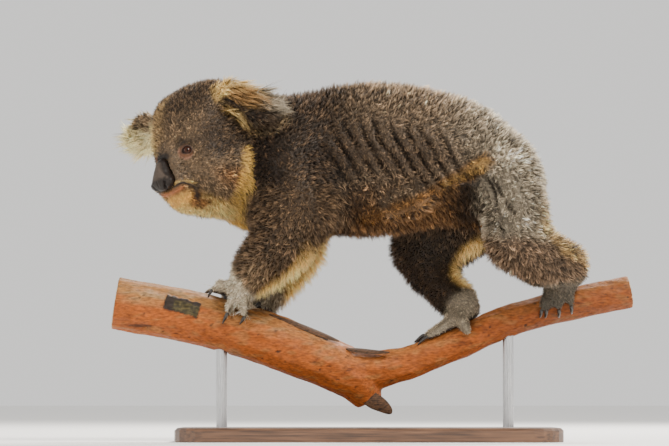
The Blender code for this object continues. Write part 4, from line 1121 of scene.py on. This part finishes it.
def make_nose():
    """The leathery pad, with nostrils, swollen wings, a cleft and a flat front."""
    mesh = remeshed(mesh_from(merged("nose"), "nose"), NOSE_STEP)
    points = Web(mesh).spread(points_of(mesh), 8, 0.5)
    set_points(mesh, points)
    head = in_head(points)
    rise = moulded(head, NOSE_RELIEF) + 0.25 * MM * patchy(points, 4 * MM, 5.0)
    nostril = off_line(head, NOSTRIL)
    points = points + normals_of(mesh) * rise[:, None]
    set_points(mesh, points)
    # Painted sheen: the front of the pad lighter where it faces forward.
    facing = normals_of(mesh) @ HEAD[0]
    tint = NOSE_DARK + (NOSE_SHEEN - NOSE_DARK) * above(facing, 0.55, 0.35)[:, None]
    up = in_head(points)[:, 2]
    ends = np.maximum(above(up, -0.044, 0.005), below(up, -0.064, 0.007))
    tint += (NOSE_DARK - tint) * (ends * 0.9)[:, None]
    tint += (NOSTRIL_DARK - tint) * bump(nostril, 1.9 * MM)[:, None]
    tint *= (1 + 0.15 * patchy(points, 5 * MM, 3.0))[:, None]
    give_colours(mesh, "nose_colour", tint)
    made = Finish("nose", roughness=0.42, specular=0.22)
    pebbles = made.cells(1.1 * MM)
    made.base(made.painted("nose_colour", made.ramp(pebbles, (0.05, 1.12), (0.65, 0.7))))
    made.rough(made.noise(3 * MM), 0.34, 0.5)
    made.relief(pebbles, -0.25 * MM, 0.7)
    add_piece("nose_pad", mesh, made.material, ["nose"])


# ---------------- claws
CLAW_SWELL = 0.25 * MM  # makes up for what smoothing takes off


def make_claws():
    made = Finish("claw", roughness=0.32, specular=0.55)
    streaks = made.noise(0.8 * MM, 4.0, made.stretched(1.0, 1.0, 0.22))
    made.base(made.ramp(streaks, (0.32, colour(12, 10, 9)), (0.72, colour(46, 38, 31))))
    made.rough(streaks, 0.24, 0.42)
    made.relief(streaks, 0.15 * MM, 0.6)
    for node in sorted(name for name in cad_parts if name.startswith("claw_")):
        bm = merged(node)
        for vert in bm.verts:
            vert.co += vert.normal * CLAW_SWELL
        mesh = evaluated(mesh_from(bm, node), "SUBSURF", levels=2)
        add_piece("horn_" + node, mesh, made.material, [node])


# ---------------- branch
BARK_STEP = 2.0 * MM
BARK_ORANGE = colour(142, 72, 20)
BARK_TAN = colour(140, 96, 50)
BARK_GREY = colour(140, 112, 78)
BARK_DARK = colour(34, 24, 16)
SCAR_GREEN = colour(60, 52, 26)
SAWN = colour(214, 184, 142)
RING = 4.5 * MM  # from one ring of the sawn ends to the next
STREAK = 2.6 * MM  # radius of a streak along the bark
STREAKS = (((0.02, 0.2, 0.6), 0.06), ((0.7, 0.15, 0.6), 0.05), ((0.86, 0.12, 0.72), 0.04))  # start and length


class Bark:
    """The branch with its bark: bumps, scars, a knot, cracks and sawn ends."""

    def __init__(self):
        self.mesh = remeshed(mesh_from(merged(PERCH), "bark"), BARK_STEP)
        self.web = Web(self.mesh)
        self.points = self.web.spread(points_of(self.mesh), 6, 0.5)
        set_points(self.mesh, self.points)
        self.facing = self.web.spread(normals_of(self.mesh), 3)
        self.rise = np.zeros(self.web.count)
        self.paint()
        self.mark()
        ends = self.ends()
        set_points(self.mesh, self.points + normals_of(self.mesh) * (self.rise * (1 - ends))[:, None])
        give_colours(self.mesh, "bark_colour", self.tint)
        made = Finish("bark", roughness=0.72, specular=0.3)
        fine = made.noise(2.2 * MM, 6.0, made.stretched(0.3, 1.0, 0.85))
        shade = made.ramp(fine, (0.3, 0.5), (0.68, 1.3))
        cracks = made.ramp(made.noise(9 * MM, 8.0, made.stretched(0.22, 1.0, 0.9)), (0.3, 0.45), (0.36, 1.0))
        made.base(made.times(made.painted("bark_colour", shade), cracks, 0.75))
        made.rough(made.noise(8 * MM), 0.58, 0.84)
        made.relief(made.times(fine, cracks), 0.9 * MM, 0.9)
        add_piece("bark", self.mesh, made.material, [PERCH])

    def mix(self, share, tint):
        self.tint += (tint - self.tint) * share[:, None]

    def patch(self, path, radius, edge=0.35):
        return ease((1 - off_path(self.points, path)[0] / radius) / edge)

    def patches(self, stretch, size, seed=0.0):
        """Soft noise drawn out along the branch."""
        return patchy(self.points * (stretch, 1, 1), size, seed)

    def slab(self, start, end, half):
        """1 on an oblong with ragged edges, seen from the front, that reaches from start to end."""
        start, end = route(PERCH, start, end)
        way = unit(np.array((end[0] - start[0], 0, end[2] - start[2])))
        away = self.points - start + patchy(self.points, 6 * MM, 6.0)[:, None] * 1.5 * MM
        along = away @ way
        across = np.abs(away @ np.array((way[2], 0, -way[0])))
        inside = np.minimum(half - across, np.minimum(along, np.linalg.norm(np.subtract(end, start)) - along))
        return ease(inside / (1.6 * MM))

    def paint(self):
        """Bark in orange and tan, greyer on top of its left half and darker at its right end, with specks."""
        x, up = self.points[:, X], self.facing[:, Z]
        broad = self.patches(0.4, 22 * MM)
        mid = self.patches(0.35, 8 * MM, 3.0)
        self.tint = np.tile(BARK_ORANGE, (self.web.count, 1)) * (1 + 0.16 * broad)[:, None]
        self.mix(above(mid, 0.15, 0.3) * 0.45, BARK_TAN)
        self.tint *= 1 - 0.42 * above(x, level(PERCH, X, 0.68), 0.12)[:, None]
        self.mix(above(self.patches(0.5, 11 * MM, 12.0), 0.3, 0.25) * 0.45, BARK_ORANGE * 0.45)
        top = above(up + 0.25 * broad, 0.1, 0.45)
        left = below(x, level(PERCH, X, 0.5), 0.25)
        self.mix(top * (0.35 + 0.6 * left), BARK_TAN)
        self.mix(top * left * above(mid, -0.1, 0.4) * 0.7, BARK_GREY)
        specks = above(self.patches(0.6, 4.5 * MM, 8.0), 0.55, 0.12)
        self.mix(specks * 0.75, BARK_DARK)
        self.rise += 1.3 * MM * broad + 0.7 * MM * mid - specks * 0.6 * MM

    def mark(self):
        """The scar on the near side, the crack under the long flake, a knot, the fork and three streaks."""
        front = below(self.facing[:, Y], -0.05, 0.25)
        plate = self.slab((0.104, 0.0, 0.8), (0.172, 0.0, 0.725), 11.5 * MM) * front
        inner = self.slab((0.12, 0.0, 0.775), (0.17, 0.0, 0.718), 8.5 * MM) * front
        self.mix(plate, BARK_DARK)
        mottle = 0.45 + 1.1 * ease(patchy(self.points, 4 * MM, 9.0) + 0.5)
        self.mix(inner * 0.9, SCAR_GREEN * mottle[:, None])
        self.rise += plate * (1.6 * MM + 0.8 * MM * patchy(self.points, 3 * MM, 2.0))
        seam = route(PERCH, (0.29, 0.42, 0.7), (0.345, 0.28, 0.61), (0.412, 0.25, 0.51))
        self.mix(self.patch(seam, 3.4 * MM) * 0.9, BARK_DARK)
        self.rise += self.patch(np.array(seam) + (0, 0.01, 0.004), 0.01) * 1.8 * MM
        away = np.linalg.norm(self.points - at(PERCH, 0.235, 0.18, 0.365), axis=1)
        self.rise += bump(away, 0.016) * 5 * MM - bump(away, 0.006) * 3.5 * MM
        self.mix(bump(away, 0.008), BARK_DARK)
        self.mix(bump(away - 0.014, 0.003) * 0.6, BARK_GREY * 0.7)
        fork = self.patch(route(PERCH, (0.455, 0.1, 0.4), (0.5, 0.1, 0.45), (0.575, 0.2, 0.52)), 5 * MM)
        self.mix(fork * 0.7, BARK_DARK * 1.3)
        self.rise -= fork * 1.5 * MM
        for place, reach in STREAKS:
            spot = at(PERCH, *place)
            streak = [spot, spot + (reach, 0, 0.1 * reach)]
            self.mix(self.patch(streak, STREAK * 1.4) * 0.7, BARK_DARK)
            self.rise -= self.patch(streak, STREAK) * 0.8 * MM

    def ends(self):
        """Pale sawn wood with rings on the cut faces."""
        low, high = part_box(PERCH)
        sawn = np.zeros(self.web.count)
        for place, way in ((low.x, -1), (high.x, 1)):
            near = (np.abs(self.points[:, 0] - place) < 0.022) & (self.facing[:, 0] * way > 0.7)
            if near.any():
                away = np.linalg.norm(self.points - self.points[near].mean(axis=0), axis=1)
                away = away * (1 + 0.05 * patchy(self.points, 20 * MM))
                rings = 0.8 + 0.2 * np.cos(away / RING * 2 * math.pi)
                self.tint[near] = (SAWN * rings[:, None])[near]
                sawn[near] = 1.0
        return sawn


# Dead bark that peels off: a path in shares of the perch's box, its half widths, thickness and outer side.
FLAKES = {
    "flake_top": (((0.448, 0.24, 0.452), (0.475, 0.18, 0.44), (0.505, 0.14, 0.428), (0.535, 0.12, 0.42)),
                  (0.004, 0.009, 0.008, 0.003), 1.6 * MM, (0, -0.45, 0.9)),
    "flake_long": (((0.3, 0.3, 0.712), (0.345, 0.26, 0.65), (0.395, 0.24, 0.572), (0.44, 0.24, 0.5)),
                   (0.002, 0.006, 0.008, 0.003), 1.6 * MM, (0, -0.6, 0.8)),
    "flake_low": (((0.478, 0.3, 0.12), (0.5, 0.24, 0.06), (0.522, 0.24, 0.01), (0.538, 0.28, -0.045)),
                  (0.01, 0.013, 0.01, 0.004), 2.0 * MM, (0, -1.0, 0)),
}
FLAKE_BOW = 0.25  # how deep a flake is bowed across, as a share of its half width
FLAKE_CROSS = 7  # points across each of its faces


def add_flake(name, finish):
    """A closed strip of dead bark along a path, bowed across, thin at its edges."""
    places, widths, thick, outward = FLAKES[name]
    path = route(PERCH, *places)
    rows, size, faces = [], 2 * FLAKE_CROSS, []
    for k, place in enumerate(path):
        step = unit(path[min(k + 1, len(path) - 1)] - path[max(k - 1, 0)])
        side = unit(np.cross(step, outward))
        rise = np.cross(side, step)
        for t in np.linspace(-1, 1, FLAKE_CROSS):
            edge = widths[k] * t * (1 + 0.12 * chance.standard_normal())
            rows.append(place + side * edge - rise * (t * t) * FLAKE_BOW * widths[k])
        for t in np.linspace(1, -1, FLAKE_CROSS):
            body = thick * (1 - 0.75 * t * t)
            rows.append(place + side * widths[k] * t * 0.98 - rise * ((t * t) * FLAKE_BOW * widths[k] + body))
    for k in range(len(path) - 1):
        for j in range(size):
            a, b = k * size + j, k * size + (j + 1) % size
            faces.append((a, b, b + size, a + size))
    faces.append(tuple(range(size - 1, -1, -1)))
    faces.append(tuple(range((len(path) - 1) * size, len(path) * size)))
    add_piece(name, evaluated(mesh_of(name, rows, faces), "SUBSURF", levels=2), finish)


def make_flakes():
    made = Finish("dead_bark", roughness=0.8, specular=0.25)
    fine = made.noise(2.0 * MM, 6.0, made.stretched(0.35, 1.0, 1.0))
    made.base(made.ramp(fine, (0.3, BARK_DARK * 0.6), (0.74, colour(96, 68, 48))))
    made.relief(fine, 1.0 * MM, 1.0)
    made.rough(fine, 0.7, 0.9)
    for name in FLAKES:
        add_flake(name, made.material)


# ---------------- stand
def use_finish(node, made):
    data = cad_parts[node].data
    data.materials.clear()
    data.materials.append(made.material)


def make_stand():
    wood = Finish("walnut", roughness=0.42, specular=0.45, coat=0.25)
    grain = wood.noise(3.0 * MM, 6.0, wood.stretched(0.05, 1.0, 1.0))
    broad = wood.ramp(wood.noise(30 * MM, 3.0, wood.stretched(0.12, 1.0, 1.0)), (0.3, 0.72), (0.7, 1.15))
    tone = wood.ramp(grain, (0.3, colour(58, 38, 26)), (0.7, colour(112, 78, 54)))
    wood.base(wood.times(tone, broad))
    wood.rough(grain, 0.34, 0.52)
    wood.relief(grain, 0.2 * MM, 0.5)
    use_finish("stand_base", wood)
    steel = Finish("brushed_steel", roughness=0.3, specular=0.5, metallic=1.0)
    brushed = steel.noise(0.8 * MM, 4.0, steel.stretched(1.0, 1.0, 0.03))
    steel.base(steel.ramp(brushed, (0.3, colour(165, 166, 168)), (0.7, colour(205, 206, 208))))
    steel.rough(brushed, 0.24, 0.42)
    steel.relief(brushed, 0.05 * MM, 0.5)
    for node in ("stand_rod_front", "stand_rod_rear"):
        use_finish(node, steel)


# ---------------- camera, lights and floor
VIEW_AIM = Vector((-0.0497, 0.0, 0.32))
VIEW_DISTANCE = 5.0
PHOTO_WIDTH = 0.9366  # across the photo at the animal
MARGIN = 1.05  # the picture takes in a little more, down to the stand's base
VIEW_LIFT = math.radians(-3)
SENSOR = 36.0

# Each light's name, place, size, power and colour.
LIGHTS = (
    ("key", (1.9, -2.4, 3.0), 1.4, 235, (1.0, 0.94, 0.85)),
    ("fill", (-2.8, -2.6, 1.6), 2.2, 52, (1.0, 0.96, 0.91)),
    ("rim", (1.0, 2.4, 2.8), 1.2, 260, (1.0, 0.96, 0.9)),
)


def make_camera():
    data = bpy.data.cameras.new("camera")
    data.sensor_width = SENSOR
    data.lens = SENSOR * VIEW_DISTANCE / (PHOTO_WIDTH * MARGIN)
    data.clip_end = 200.0
    camera = linked("camera", data)
    back = Vector((0.0, -math.cos(VIEW_LIFT), math.sin(VIEW_LIFT)))
    camera.location = VIEW_AIM + back * VIEW_DISTANCE
    camera.rotation_euler = back.to_track_quat("Z", "Y").to_euler()
    bpy.context.scene.camera = camera


def make_studio():
    for name, place, size, power, tint in LIGHTS:
        data = bpy.data.lights.new(name, "AREA")
        data.shape, data.size = "DISK", size
        data.energy, data.color = power, tint
        lamp = linked(name, data)
        lamp.location = place
        lamp.rotation_euler = (Vector(place) - VIEW_AIM).to_track_quat("Z", "Y").to_euler()
    world = bpy.data.worlds.new("studio")
    world.use_nodes = True
    world.node_tree.nodes["Background"].inputs["Color"].default_value = (0.93, 0.92, 0.9, 1)
    world.node_tree.nodes["Background"].inputs["Strength"].default_value = 1.05
    bpy.context.scene.world = world
    bm = bmesh.new()
    bmesh.ops.create_circle(bm, cap_ends=True, segments=96, radius=40.0)
    mesh = mesh_from(bm, "floor")
    floor = linked("floor", mesh)
    floor.location.z = -0.5 * MM
    paint = bpy.data.materials.new("floor")
    paint.use_nodes = True
    shader = paint.node_tree.nodes["Principled BSDF"]
    shader.inputs["Base Color"].default_value = (0.88, 0.87, 0.85, 1)
    shader.inputs["Roughness"].default_value = 0.9
    mesh.materials.append(paint)


make_camera()
make_studio()
skin = Skin()
# Under the coat the skin is half as light as the tufts, painted shade for the depth of the coat; bare skin
# keeps its full colour.
give_colours(skin.mesh, "coat_colour", skin.tint * (0.5 + 0.5 * skin.bare)[:, None])
add_piece("skin", skin.mesh, skin_finish(), FLESH)
COAT_FINISH = coat_finish()
make_coat()
for side, eye in zip(SIDES, EYES):
    make_eye(side, eye)
make_nose()
make_claws()
Bark()
make_flakes()
make_stand()
